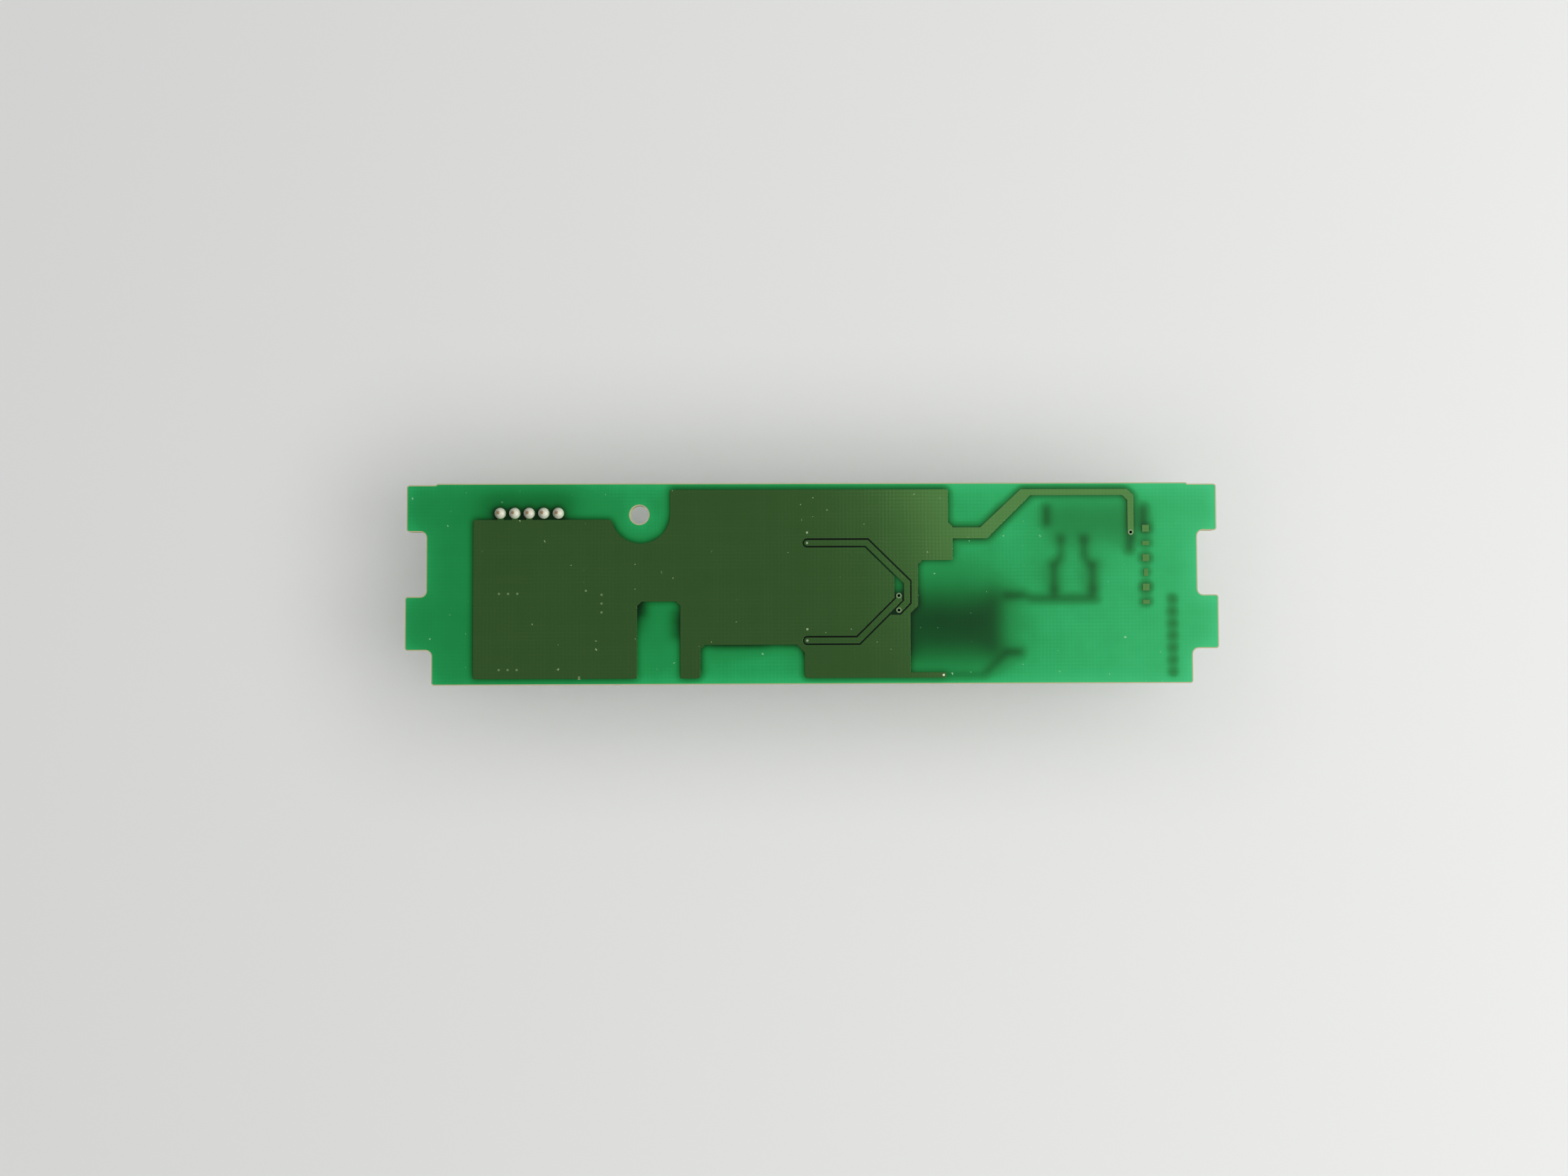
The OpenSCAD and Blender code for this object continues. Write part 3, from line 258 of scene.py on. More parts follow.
def weave(tree, place):
    """Height of the cloth: bands of warp and weft at its thread spacing, each showing in long patches."""
    thread = 0.62  # a little coarser than real glass cloth, so that it shows
    long, short = 0.06, 0.5  # patches to a millimetre along and across the threads
    crossed = None
    for way, stretch in (("X", (short, long, 1)), ("Y", (long, short, 1))):
        bands = add(tree, "TexWave", {"Vector": place, "Scale": WAVE_TURN / thread, "Distortion": 1.2,
                                      "Detail": 2.0, "Detail Scale": 0.5},
                    wave_type="BANDS", bands_direction=way)
        drawn = add(tree, "VectorMath", {0: place, 1: stretch}, operation="MULTIPLY").outputs[0]
        patches = remap(tree, clouds(tree, drawn, 1.0), 0.35, 0.7, 0.15, 0.85)
        threads = calc(tree, "MULTIPLY", bands.outputs["Fac"], patches)
        crossed = threads if crossed is None else calc(tree, "ADD", crossed, threads)
    return crossed


def specks(tree, place, spacing, radius, share):
    """Ragged specks of dust of up to that radius, in about that share of the cells of that spacing.

    They gather in loose drifts: some stretches have none and others twice as many.
    """
    tear = 4.5 * radius
    ragged = add(tree, "TexNoise", {"Vector": place, "Scale": 0.35 / radius, "Detail": 2.0})
    torn = add(tree, "VectorMath", {0: ragged.outputs["Color"], 1: (0.5, 0.5, 0.5)}, operation="SUBTRACT")
    shift = add(tree, "VectorMath", {0: torn.outputs[0], "Scale": tear}, operation="SCALE")
    bent = add(tree, "VectorMath", {0: place, 1: shift.outputs[0]}, operation="ADD").outputs[0]
    cells = add(tree, "TexVoronoi", {"Vector": bent, "Scale": 1 / spacing}, voronoi_dimensions="2D")
    pick = add(tree, "SeparateColor", {"Color": cells.outputs["Color"]})
    reach = remap(tree, pick.outputs["Green"], 0, 1, 0.3 * radius / spacing, radius / spacing)
    dots = calc(tree, "LESS_THAN", cells.outputs["Distance"], reach)
    drift = remap(tree, clouds(tree, place, 0.09, 1.0), 0.42, 0.62, 0.3 * share, 2.2 * share)
    return calc(tree, "MULTIPLY", dots, remap(tree, pick.outputs["Red"], drift, 0))


def masked_copper():
    """Copper under green solder mask: olive, metallic and glossy, with the cloth printing through."""
    made, tree, surface = finish("solder_mask_over_copper", Roughness=0.14, IOR=1.5)
    place = in_mm(tree)
    cloth = weave(tree, place)
    cloud = add(tree, "TexNoise", {"Vector": place, "Scale": 0.12, "Detail": 4.0, "Roughness": 0.6})
    woven = mix(tree, cloth, mix(tree, cloud.outputs["Fac"], "#5f9750", "#669c54"), "#69a059")
    dust = specks(tree, place, 2.2, 0.17, 0.1)
    coat(tree, surface, mix(tree, dust, woven, "#9ab08b"), cloth, 0.15, 0.01)
    tree.links.new(remap(tree, dust, 0, 1, 0.88, 0), surface.inputs["Metallic"])
    return made


green_copper = masked_copper()
top_x, top_first, top_pitch = 57.7, 9.4, 2.55
top_sizes = [(1.2, 1.2), (1.2, 0.7), (1.2, 1.2), (0.7, 1.2), (1.2, 1.2), (1.2, 0.7)]
solder_marks = marks("solder_side_marks", top_x, top_first, top_pitch, top_sizes,
                     top_z, top_z + mark_t, green_copper)
back_x, back_first, back_pitch = 62.2, -2.9, 2.1
back_sizes = [(1.3, 1.1)] * 7
back_marks = marks("component_side_marks", back_x, back_first, back_pitch, back_sizes,
                   under_z - mark_t, under_z, green_copper)
for made in (solder_marks, back_marks):
    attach(made, "root")

# ---- What shows through the laminate, as painted light and shade ----
# Masked laminate without copper is a green window. Daylight sinks into it and comes back from the bench,
# and whatever lies under the board holds some of that light up and shows as a soft shade.
# Here no light passes through the board: all of this is worked out as a map and painted into the colour of
# the upper mask.
CELL = 0.35 * MM  # step of the map of light
LOOSE = 0.54 * MM  # how far light wanders sideways under the upper face
TIGHT = 0.48 * MM  # on its way down to the lower one
SOFT = 1.1 * MM  # and under the board
EDGE = 1.6 * MM  # how far in the light reaches that enters by the cut edges
WAYS_DOWN = 40  # rays cast down from each cell
TILT = 0.2  # how far they lean to the window, where most of the daylight comes from
FLOOR_SHARE = 0.86  # share of the light that makes the whole trip down and back
COPPER_SHADE = 0.82  # share of it that copper on the component side keeps back
EDGE_LIGHT = 0.4  # light that the cut edges add
WINDOW_LIFT = 0.16  # how much brighter the end nearest the window is than the middle
FALL_OFF = 1.8  # how steeply the light falls off beside the copper of the solder side
# Share of the light that each thing under the board sends back up, and that of all other parts
others_send = 0.05
sends_back = {
    "input_header_housing": 0.46, "lamp_connector_housing": 0.61, "lamp_connector_tabs": 0.55,
    "lamp_connector_contacts": 0.3, "high_voltage_capacitor_1": 0.65, "high_voltage_capacitor_2": 0.65,
    "high_voltage_capacitor_ends": 0.65,
}
map_x = np.arange(board_low.x, board_high.x + CELL, CELL)
map_y = np.arange(board_low.y, board_high.y + CELL, CELL)


def solid_tree(meshes):
    """One tree of faces to cast rays at, and the owner of each face."""
    points, faces, owners = [], [], []
    for mesh in meshes:
        first = len(points)
        points += [v.co for v in mesh.vertices]
        faces += [[first + i for i in face.vertices] for face in mesh.polygons]
        owners += [mesh.name] * len(mesh.polygons)
    return BVHTree.FromPolygons(points, faces), owners


def cover_map(meshes, start_z, way):
    """1 in each cell of the map where one of the meshes lies below start_z (way is -1) or above it (1)."""
    tree = solid_tree(meshes)[0]
    reach = 2.5 * MM
    return np.array([[tree.ray_cast((x, y, start_z), (0, 0, way), reach)[0] is not None for x in map_x]
                     for y in map_y], float)


def spread(field, sigma):
    """The map, blurred as the laminate blurs it."""
    reach = int(3 * sigma / CELL) + 1
    weights = np.exp(-0.5 * (np.arange(-reach, reach + 1) * CELL / sigma) ** 2)
    weights /= weights.sum()
    for axis in (0, 1):
        field = np.apply_along_axis(np.convolve, axis, field, weights, mode="same")
    return field


def shaded_map(start_z):
    """How much of the light below each cell the parts under the board keep back, from 0 to 1."""
    skip = {"board_laminate", "solder_side_copper", "component_side_copper", "open_vias", "filled_vias",
            "header_solder_joints"}
    tree, owners = solid_tree([nodes[name].data for name in sorted(nodes) if name not in skip])
    keeps = {nodes[name].data.name: 1 - sends_back.get(name, others_send) for name in nodes}
    golden = math.pi * (3 - math.sqrt(5))  # this turn from each ray to the next spreads them evenly
    ways = []
    for i in range(WAYS_DOWN):
        out = math.sqrt((i + 0.5) / WAYS_DOWN)
        ways.append(Vector((out * math.cos(golden * i) + TILT, out * math.sin(golden * i),
                            -math.sqrt(1 - out * out))).normalized())
    found = np.zeros((len(map_y), len(map_x)))
    for row, y in enumerate(map_y):
        for column, x in enumerate(map_x):
            for way in ways:
                face = tree.ray_cast((x, y, start_z), way)[2]
                if face is not None:
                    found[row, column] += keeps[owners[face]]
    return found / WAYS_DOWN


# Painted shade: copper, marks and the header's beads on the upper face darken the mask's colour beside them,
# and copper on the lower face darkens it above
upper_side = [nodes["solder_side_copper"].data, nodes["header_solder_joints"].data, solder_marks.data]
lower_side = [nodes["component_side_copper"].data, back_marks.data]
top_copper = spread(cover_map(upper_side, copper_high.z + 2 * MM, -1), LOOSE)
low_copper = spread(cover_map(lower_side, pads_low.z - copper_t, 1), TIGHT)
shaded = spread(shaded_map(pads_low.z - 0.02 * MM), SOFT)
cut_edges = 1 - spread(cover_map([nodes["board_laminate"].data], board_high.z + MM, -1), EDGE)
lift = 1 + WINDOW_LIFT * map_x / board_high.x
# Painted shade from the parts and copper under the board, painted shade beside the copper on top, painted
# light at the cut edges, and a painted brightening towards the window end
down_and_back = FLOOR_SHARE * (1 - COPPER_SHADE * low_copper) * (1 - shaded)
let_out = (1 - top_copper) ** FALL_OFF
painted_light_map = let_out * (1 - FLOOR_SHARE + down_and_back + EDGE_LIGHT * cut_edges) * lift

# ---- Solder mask ----
# Green epoxy lacquer, printed on both faces and a hair short of the cut edges.
# It is glossy. The light and shade in the laminate under it are painted into the green of its upper face.
MASK_SETBACK = 0.18 * MM
MASK_T = 0.02 * MM
PAINTED_LIGHT_FULL = 1.4  # glow that takes the brightest green


def mask_sheet(side):
    """The laminate's upper (1) or lower (-1) face as an open sheet, trimmed back from its edges."""
    sheet = bmesh.new()
    sheet.from_mesh(nodes["board_laminate"].data)
    bmesh.ops.remove_doubles(sheet, verts=sheet.verts, dist=0.001 * MM)
    others = [face for face in sheet.faces if face.normal.z * side < 0.99]
    bmesh.ops.delete(sheet, geom=others, context="FACES")
    rim = bmesh.ops.inset_region(sheet, faces=sheet.faces, thickness=MASK_SETBACK, use_boundary=True,
                                 use_even_offset=True)
    bmesh.ops.delete(sheet, geom=rim["faces"], context="FACES")
    return sheet


def thicken(made, thickness, side=1):
    """Gives an open sheet its thickness, on the outer side of the face that it lies on."""
    solid = made.modifiers.new("thickness", "SOLIDIFY")
    solid.thickness = thickness
    solid.offset = side
    return made


def mask_over_laminate(name, painted_light=None):
    """Glossy green mask. Its colour follows the attribute of painted light and shade, or is an even green
    without one.
    """
    made, tree, surface = finish(name, Roughness=0.26, IOR=1.5, Specular_IOR_Level=0.25)
    place = in_mm(tree)
    cloth = weave(tree, place)
    if painted_light:
        level = add(tree, "Attribute", attribute_name=painted_light).outputs["Fac"]
        share = calc(tree, "DIVIDE", level, PAINTED_LIGHT_FULL)
    else:
        share = remap(tree, cloth, 0, 1, 0.5, 0.56)
    mottled = calc(tree, "MULTIPLY", share, remap(tree, clouds(tree, place, 0.25, 3.0), 0, 1, 0.94, 1.06))
    woven = calc(tree, "MULTIPLY", mottled, remap(tree, cloth, 0, 1, 0.985, 1.03))
    greens = add(tree, "ValToRGB", {"Fac": woven})
    ramp = greens.color_ramp
    stops = [(0.0, "#010702"), (0.1, "#063313"), (0.25, "#0e6029"), (0.45, "#167d3c"), (0.66, "#1f944e"),
             (0.8, "#2bb066"), (1.0, "#3cc27b")]
    while len(ramp.elements) < len(stops):
        ramp.elements.new(0.5)
    for stop, (share_at, colour) in zip(ramp.elements, stops):
        stop.position = share_at
        stop.color = srgb(colour)
    dust = specks(tree, place, 3.0, 0.16, 0.11)
    coat(tree, surface, mix(tree, dust, greens.outputs["Color"], "#8fce9c"), cloth, 0.2, 0.01)
    return made


# The upper sheet is cut into small squares, so that its points can carry the painted light and shade as an
# attribute
upper = mask_sheet(1)
for axis, low, high in ((1, board_low.y, board_high.y), (0, board_low.x, board_high.x)):
    normal = Vector((axis == 0, axis == 1, 0))
    for step in np.arange(low + CELL, high, 1.5 * CELL):
        bmesh.ops.bisect_plane(upper, geom=[*upper.verts, *upper.edges, *upper.faces], dist=1e-8,
                               plane_co=normal * step, plane_no=normal)
solder_mask = piece("solder_mask_top", upper, mask_over_laminate("solder_mask_over_laminate", "painted_light"))
mesh = solder_mask.data
spots = np.array([v.co for v in mesh.vertices])
across = np.clip((spots[:, 0] - map_x[0]) / CELL, 0, len(map_x) - 1.001)
along = np.clip((spots[:, 1] - map_y[0]) / CELL, 0, len(map_y) - 1.001)
i, j = across.astype(int), along.astype(int)
u, v = across - i, along - j
levels = ((1 - v) * ((1 - u) * painted_light_map[j, i] + u * painted_light_map[j, i + 1])
          + v * ((1 - u) * painted_light_map[j + 1, i] + u * painted_light_map[j + 1, i + 1]))
mesh.attributes.new("painted_light", "FLOAT", "POINT").data.foreach_set("value", levels.astype(np.float32))
thicken(solder_mask, MASK_T)

under_mask = piece("solder_mask_underside", mask_sheet(-1), mask_over_laminate("solder_mask_underside"))
thicken(under_mask, MASK_T)
for made in (solder_mask, under_mask):
    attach(made, "root")


# ---- Copper of the solder side ----
# One etched layer: the ground plane with the two primary traces let into it, and the lamp return.
# The mask runs over it in one coat and rounds its edges.
def round_edges(name, radius, segments=2):
    """Rounds the sharp edges of a node of the frame, in millimetres."""
    weld = nodes[name].modifiers.new("weld", "WELD")
    weld.merge_threshold = 0.001 * MM
    edges = nodes[name].modifiers.new("round", "BEVEL")
    edges.width = radius * MM
    edges.segments = segments
    edges.limit_method = "ANGLE"
    edges.angle_limit = math.radians(35)


dress("solder_side_copper", green_copper)
round_edges("solder_side_copper", 0.045)
dress("component_side_copper", green_copper)
round_edges("component_side_copper", 0.02)


# ---- Solder ----
# Tin-lead solder, set pale and half dull. It fills most vias, which mask tents on the left of the board,
# and stands in round beads on the header's pins, whose tips flux has browned.
def set_solder():
    """Set solder: pale, half dulled, with a faint grain, and brown with flux at the tips of the pins."""
    brown_from, brown_full = 9.68, 9.8  # millimetres above the bench
    made, tree, surface = finish("set_solder", Metallic=0.15, Roughness=0.5)
    place = in_mm(tree)
    grain = clouds(tree, place, 2.2, 4.0)
    height = add(tree, "SeparateXYZ", {"Vector": place}).outputs["Z"]
    flux = remap(tree, height, brown_from, brown_full)
    coat(tree, surface, mix(tree, flux, mix(tree, grain, "#d3d5c3", "#bdbfac"), "#9a7f5c"), grain, 0.3, 0.03)
    return made


solder = set_solder()


def tented_vias():
    """Solder plugs: bare in the traces on the right, and green under their tents of mask on the left."""
    tented_to, bare_from = -2.0, 2.0
    made, tree, surface = finish("solder_plugs", Metallic=0.3, Roughness=0.5)
    across = add(tree, "SeparateXYZ", {"Vector": in_mm(tree)}).outputs["X"]
    bare = remap(tree, across, tented_to, bare_from)
    coat(tree, surface, mix(tree, bare, "#6f8f62", "#e4ead2"))
    return made


dress("filled_vias", tented_vias())


def via_plating():
    """Tinned copper: mask dulls its rim to a grey green, and the inside of the barrel is painted near black
    as shade.
    """
    made, tree, surface = finish("tinned_copper", Metallic=0.6, Roughness=0.5)
    rim = mix(tree, clouds(tree, in_mm(tree), 6.0), "#66855a", "#86a278")
    facing = add(tree, "SeparateXYZ", {"Vector": add(tree, "TexCoord").outputs["Normal"]}).outputs["Z"]
    flat = calc(tree, "ABSOLUTE", facing)
    # Painted shade: the barrel's walls, which face sideways, are coloured near black
    coat(tree, surface, mix(tree, flat, "#0d0f0b", rim))
    return made


dress("open_vias", via_plating())


def solids(name):
    """Lowest and highest corners of each separate solid of a node."""
    shape = bmesh.new()
    shape.from_mesh(nodes[name].data)
    bmesh.ops.remove_doubles(shape, verts=shape.verts, dist=0.001 * MM)
    boxes, seen = [], set()
    for start in shape.verts:
        if start in seen:
            continue
        group, todo = [], [start]
        seen.add(start)
        while todo:
            vert = todo.pop()
            group.append(vert.co)
            for edge in vert.link_edges:
                other = edge.other_vert(vert)
                if other not in seen:
                    seen.add(other)
                    todo.append(other)
        boxes.append((Vector(map(min, *group)), Vector(map(max, *group))))
    shape.free()
    return sorted(boxes, key=lambda box: tuple(box[0]))


# The open vias are tented on the component side: a disc of mask closes the far end of each barrel
tent_r, tent_t, tent_inset = 0.26 * MM, 0.1 * MM, 0.15 * MM
tents = bmesh.new()
for low, high in solids("open_vias"):
    middle = Vector(((low.x + high.x) / 2, (low.y + high.y) / 2, under_z + tent_inset))
    bmesh.ops.create_circle(tents, cap_ends=True, segments=24, radius=tent_r,
                            matrix=Matrix.Translation(middle))
via_tents = thicken(piece("via_tents", tents, under_mask.data.materials[0]), tent_t, side=-1)
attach(via_tents, "root")

# Each bead is turned from one outline: foot, round side, and the pin's tip, which leans out of it
tip_r, tip_t = 0.24 * MM, 0.2 * MM
tip_lean = Vector((-0.13, 0.03, 0)) * MM
waist, dome = 0.12, 0.85  # height of the bead's widest place and of the dome on it, as shares of the whole
beads = bmesh.new()
for low, high in solids("header_solder_joints"):
    middle = (low + high) / 2
    radius, height = (high.x - low.x) / 2, high.z - low.z
    ball = [(radius * math.cos(a), height * (waist + dome * math.sin(a)))
            for a in (math.radians(step) for step in range(-8, 76, 7))]
    outline = [(radius * 0.99, 0), *ball, (tip_r, height * 0.95), (tip_r * 0.8, height), (0, height)]
    turned = [beads.verts.new((middle.x + out, middle.y, low.z + up)) for out, up in outline]
    edges = [beads.edges.new(pair) for pair in zip(turned, turned[1:])]
    bmesh.ops.spin(beads, geom=[*turned, *edges], cent=middle, axis=(0, 0, 1), angle=2 * math.pi, steps=32,
                   use_merge=True)
bmesh.ops.remove_doubles(beads, verts=beads.verts, dist=0.001 * MM)
tips_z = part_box("header_solder_joints")[1].z - tip_t
leaning = [v for v in beads.verts if v.co.z > tips_z]
bmesh.ops.translate(beads, verts=leaning, vec=tip_lean)
bmesh.ops.holes_fill(beads, edges=beads.edges)
bmesh.ops.recalc_face_normals(beads, faces=beads.faces)
for face in beads.faces:
    face.smooth = True
joints = piece("header_solder_beads", beads, solder)
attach(joints, "root")
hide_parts("header_solder_joints")


# ---- Supply header ----
# Ivory nylon shroud, moulded in one, with square tinned pins pressed through its floor.
# The pins go on through the board and are soldered on the other side.
def moulded(name, colour, roughness, grain=0.02, **shader):
    """Moulded plastic: one colour that wanders a little, with the fine bloom of the tool."""
    made, tree, surface = finish(name, Roughness=roughness, **shader)
    place = in_mm(tree)
    light = srgb(colour)
    dark = [part * 0.82 for part in light[:3]] + [1]
    bloom = clouds(tree, place, 9.0)
    coat(tree, surface, mix(tree, clouds(tree, place, 0.5, 3.0), light, dark), bloom, 0.5, grain)
    return made


def plated(name, pale, dark):
    """Bright tin or gold over brass, laid on a little unevenly."""
    made, tree, surface = finish(name, Metallic=0.95, Roughness=0.32)
    uneven = clouds(tree, in_mm(tree), 5.0, 3.0)
    coat(tree, surface, mix(tree, uneven, pale, dark), uneven, 0.25, 0.01)
    return made


tin = plated("bright_tin", "#dedcd5", "#bcb9b0")
dress("input_header_housing", moulded("natural_nylon", "#e9e4d2", 0.48, Subsurface_Weight=0.1))
round_edges("input_header_housing", 0.15)
dress("input_header_pins", tin)

# ---- Lamp connector ----
# White nylon shell that lies on its side, with gilt contacts and two hold-down tabs.
# Tabs and contacts are soldered to pads, and nothing of it comes through the board.
dress("lamp_connector_housing", moulded("white_nylon", "#f0ede4", 0.45, Subsurface_Weight=0.1))
round_edges("lamp_connector_housing", 0.12)
dress("lamp_connector_contacts", plated("gilt_brass", "#d9c493", "#b69f66"))
round_edges("lamp_connector_contacts", 0.05)
dress("lamp_connector_tabs", tin)
round_edges("lamp_connector_tabs", 0.06)

# ---- Transformer ----
# Black phenolic bobbin on two E-shaped ferrite halves, bound with yellow polyester tape.
# Both windings are enamelled copper: thicker wire on the primary, and fine wire on the high-voltage side.
phenolic = moulded("black_phenolic", "#2b2925", 0.5)
for name in ("transformer_bobbin", "electrolytic_base", "choke_base_plate"):
    dress(name, phenolic)
    round_edges(name, 0.12)


def fired(name, colour, other, roughness, grain_mm):
    """Fired ceramic or ferrite: two close colours in a sandy grain of that size."""
    made, tree, surface = finish(name, Roughness=roughness)
    grain = clouds(tree, in_mm(tree), 1 / grain_mm, 3.0)
    coat(tree, surface, mix(tree, grain, colour, other), grain, 0.4, 0.02)
    return made


ferrite = fired("fired_ferrite", "#35332f", "#4a4743", 0.58, 0.18)
for name in ("ferrite_half_left", "ferrite_half_right", "choke_drum"):
    dress(name, ferrite)
    round_edges(name, 0.12)
dress("transformer_terminals", tin)


def polyester_tape():
    """Yellow film with clear adhesive: glossy, the dark core dulling it in places."""
    made, tree, surface = finish("polyester_tape", Roughness=0.3, Coat_Weight=0.4)
    coat(tree, surface, mix(tree, clouds(tree, in_mm(tree), 0.7), "#d9b53a", "#c39a22"))
    return made


dress("transformer_tape", polyester_tape())


def enamelled(name, pale, dark):
    """Copper wire in clear enamel: a warm metal under a hard gloss."""
    made, tree, surface = finish(name, Metallic=0.75, Roughness=0.35, Coat_Weight=0.5)
    coat(tree, surface, mix(tree, clouds(tree, in_mm(tree), 1.5), pale, dark))
    return made


copper_wire = enamelled("enamelled_copper", "#c4713a", "#9a4a1e")


def wound(name, wire, material):
    """Turns of wire side by side in the boxes of a node's coils, each turn a ridge round the core."""
    corner = 0.6 * MM
    depth = 0.35 * wire * MM
    quarter = [0.0, 0.7, 1.0, 0.7]  # height of the ridge after each quarter of its width
    coils = bmesh.new()
    for low, high in solids(name):
        middle, half = (low + high) / 2, (high - low) / 2
        axis = Matrix.Translation(-Vector((0, middle.y, middle.z)))
        turns = max(3, round((high.x - low.x) / (wire * MM)))
        step = (high.x - low.x) / turns
        upright = (Matrix.Translation((low.x, middle.y, middle.z)) @ Matrix.Rotation(math.pi / 2, 4, "Y")
                   @ Matrix.Rotation(math.pi / 4, 4, "Z"))
        ring = bmesh.ops.create_circle(coils, segments=4, radius=math.sqrt(2), matrix=upright)
        bmesh.ops.scale(coils, vec=Vector((1, half.y, half.z)), verts=ring["verts"], space=axis)
        corners = bmesh.ops.bevel(coils, geom=ring["verts"], offset=corner, offset_type="OFFSET", segments=4,
                                  profile=0.5, affect="VERTICES", material=-1)
        start = list({edge for vert in corners["verts"] for edge in vert.link_edges})
        edges = start
        for count in range(turns * 4):
            grown = bmesh.ops.extrude_edge_only(coils, edges=edges)["geom"]
            verts = [g for g in grown if isinstance(g, bmesh.types.BMVert)]
            edges = [g for g in grown if isinstance(g, bmesh.types.BMEdge)]
            bmesh.ops.translate(coils, vec=(step / 4, 0, 0), verts=verts)
            change = (quarter[(count + 1) % 4] - quarter[count % 4]) * depth
            grow = Vector((1, 1 + change / half.y, 1 + change / half.z))
            bmesh.ops.scale(coils, vec=grow, verts=verts, space=axis)
        bmesh.ops.holes_fill(coils, edges=[*start, *edges])
    bmesh.ops.recalc_face_normals(coils, faces=coils.faces)
    made = piece(name + "_turns", coils, material)
    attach(made, "root")
    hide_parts(name)


wound("primary_winding", 0.4, copper_wire)
wound("high_voltage_winding", 0.18, enamelled("enamelled_fine_copper", "#b45a2c", "#8a3c18"))

# ---- Choke ----
# A ferrite drum on a black base, wound full with thick enamelled wire.
# Drum, base and wire are of the transformer's materials.
dress("choke_winding", copper_wire)


# ---- Electrolytic capacitor ----
# A drawn aluminium can, crimped over its seal, on a black foot with two flat leads.
# A dark field on part of its end marks the negative lead.
def drawn_aluminium():
    """Bright can with faint rings from the draw, and a dark field printed over part of its end."""
    draw, ink_depth, ink_offset = 0.3, 0.1, 1.4  # millimetres
    bright = 0.9
    made, tree, surface = finish("drawn_aluminium", Metallic=bright, Roughness=0.34)
    place = in_mm(tree)
    rings = level_lines(tree, place, draw, 2.0)
    can_low, can_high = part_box("electrolytic_can")
    middle = (can_low + can_high) / 2 / MM
    spot = add(tree, "SeparateXYZ", {"Vector": place})
    on_end = calc(tree, "LESS_THAN", spot.outputs["Z"], can_low.z / MM + ink_depth)
    to_the_left = calc(tree, "LESS_THAN", spot.outputs["X"], middle.x - ink_offset)
    inked = calc(tree, "MULTIPLY", on_end, to_the_left)
    coat(tree, surface, mix(tree, inked, mix(tree, rings, "#b9bbbd", "#cfd1d3"), "#1d1f22"), rings, 0.2, 0.01)
    tree.links.new(calc(tree, "SUBTRACT", bright, inked, use_clamp=True), surface.inputs["Metallic"])
    return made


dress("electrolytic_can", drawn_aluminium())
dress("electrolytic_leads", tin)

# ---- Controller, switches and diode ----
# Black epoxy packages, moulded round tinned leads that are bent down to their pads.
# They differ in size and in the number of leads, and share one compound.
compound = moulded("epoxy_moulding_compound", "#2a2a2b", 0.55, grain=0.03)
for name in ("controller_body", "input_switch_body", "drive_transistor_1", "drive_transistor_2", "diode_body",
             "small_transistor_bodies"):
    dress(name, compound)
    round_edges(name, 0.08)
for name in ("controller_leads_row", "input_switch_leads", "drive_transistor_leads", "diode_leads",
             "small_transistor_leads"):
    dress(name, tin)


# ---- Fuse, film and chip parts ----
# White ceramic, stacked film, tan and black fired chips, each with two tinned ends.
# They lie flat on their pads and are soldered by those ends.
def stacked_film():
    """Metallised film, stacked and cut: pale grey, with the edges of the layers as fine lines."""
    made, tree, surface = finish("stacked_film", Roughness=0.5, Metallic=0.15)
    layer = 0.22  # many real layers to each line, so that they show
    layers = level_lines(tree, in_mm(tree), layer, 0.5)
    coat(tree, surface, mix(tree, layers, "#b4b8bc", "#cfd3d6"), layers, 0.4, 0.02)
    return made


dress("input_fuse_body", fired("glazed_white_ceramic", "#e8e3d6", "#d8d2c2", 0.35, 1.5))
dress("film_capacitor_body", stacked_film())
tan_ceramic = fired("tan_ceramic", "#b08a5a", "#9c7849", 0.5, 0.5)
for name in ("high_voltage_capacitor_1", "high_voltage_capacitor_2", "chip_capacitor_bodies"):
    dress(name, tan_ceramic)
dress("chip_resistor_bodies", fired("black_overglaze", "#1b1b1d", "#26262a", 0.3, 0.8))
for name in ("high_voltage_capacitor_ends", "input_fuse_caps", "film_capacitor_ends", "chip_part_ends"):
    dress(name, tin)
    round_edges(name, 0.06)


# ---- Solder on the pads ----
# Reflowed solder that climbs a little way up each lead and end cap, out to the edge of its pad.
# Each foot has one small mound of it, softly rounded, on the side away from the body.
def feet(name, reach):
    """Lowest and highest corners of each lead's foot within reach of the pads, and the lead's middle."""
    slack = MM / 100
    found = []
    for low, high in solids(name):
        inside = [v.co for v in nodes[name].data.vertices
                  if v.co.z > pads_low.z - reach and low.x - slack <= v.co.x <= high.x + slack
                  and low.y - slack <= v.co.y <= high.y + slack]
        if inside:
            found.append((Vector(map(min, *inside)), Vector(map(max, *inside)), (low + high) / 2))
    return found


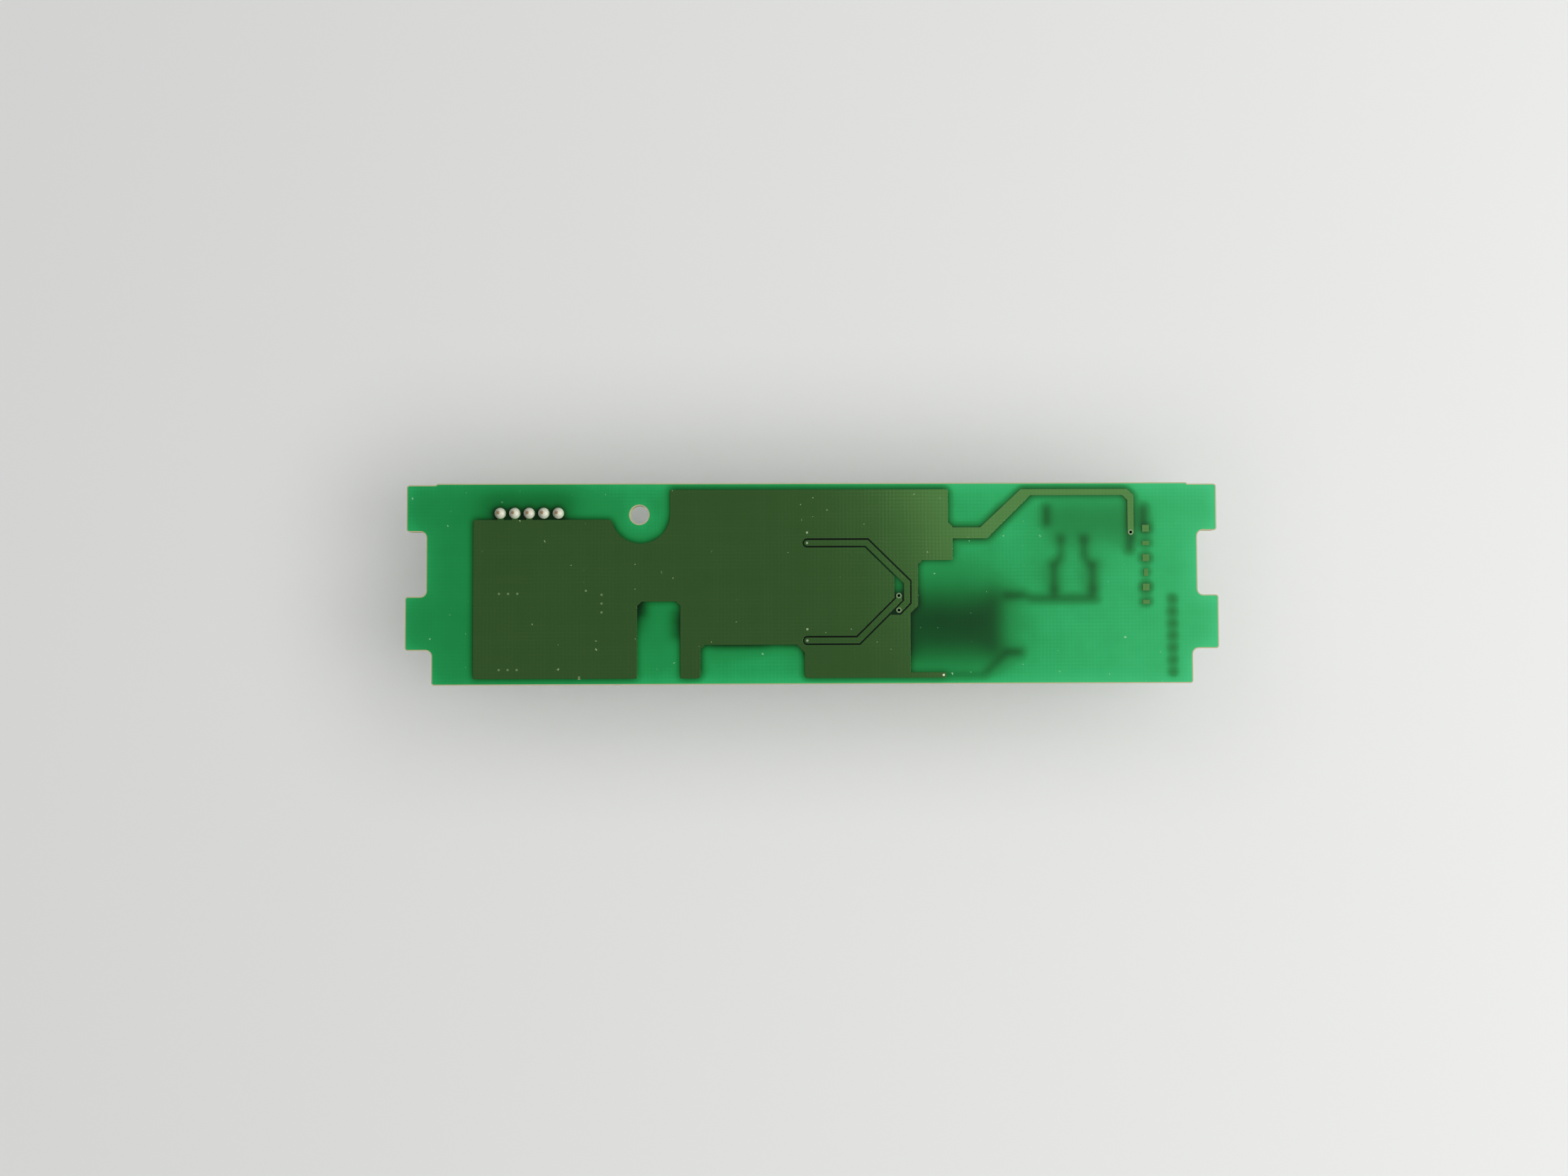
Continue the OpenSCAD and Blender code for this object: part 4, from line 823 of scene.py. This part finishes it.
def fillets(name, climb, parts):
    """Solder round the feet of those nodes: a mound each, that many millimetres high, on the outer side."""
    out_by, wider, longer, rounding = 0.16, 0.06, 0.12, 0.09  # millimetres
    sunk = 0.01  # into the pad
    bent = 0.2 * MM  # a lead whose foot is further than this from its middle is a bent one
    mounds = bmesh.new()
    for part in parts:
        spots = feet(part, 0.3 * MM)
        for low, high, whole in spots:
            middle, half = (low + high) / 2, (high - low) / 2
            others = sorted((other[2] for other in spots if (other[2] - whole).length > MM / 10),
                            key=lambda spot: (spot - whole).length)
            # A bent lead's foot lies beyond its middle, and an end cap beyond the cap at the other end
            away = middle - whole if (middle - whole).xy.length > bent else whole - others[0]
            axis = 0 if abs(away.x) > abs(away.y) else 1
            outward = Vector((0, 0, 0))
            outward[axis] = math.copysign(out_by * MM, away[axis])
            grown = half + Vector((wider, wider, 0)) * MM
            grown[axis] += longer * MM
            stand = Matrix.Translation((middle.x + outward.x, middle.y + outward.y,
                                        pads_low.z + sunk * MM - climb * MM / 2))
            size = Matrix.Diagonal((grown.x, grown.y, climb * MM / 2, 1))
            made = bmesh.ops.create_cube(mounds, size=2, matrix=stand @ size)["verts"]
            far = [v for v in made if v.co.z < pads_low.z - climb * MM / 2]
            taper = Vector((0.8, 0.8, 1))
            taper[axis] = 0.5
            bmesh.ops.scale(mounds, vec=taper, verts=far, space=Matrix.Translation(-middle))
            rim = {edge for v in far for edge in v.link_edges}
            edges = [edge for edge in rim if edge.calc_length() > 0.05 * MM]
            bmesh.ops.bevel(mounds, geom=edges, offset=rounding * MM, offset_type="OFFSET", segments=2,
                            profile=0.5, affect="EDGES", material=-1, clamp_overlap=True)
    for face in mounds.faces:
        face.smooth = True
    bmesh.ops.recalc_face_normals(mounds, faces=mounds.faces)
    made = piece(name, mounds, solder)
    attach(made, "root")


fillets("chip_fillets", 0.35, ["chip_part_ends", "small_transistor_leads"])
fillets("package_fillets", 0.22, ["controller_leads_row", "input_switch_leads", "drive_transistor_leads",
                                  "diode_leads", "electrolytic_leads"])
fillets("power_fillets", 0.5, ["input_fuse_caps", "film_capacitor_ends", "high_voltage_capacitor_ends"])
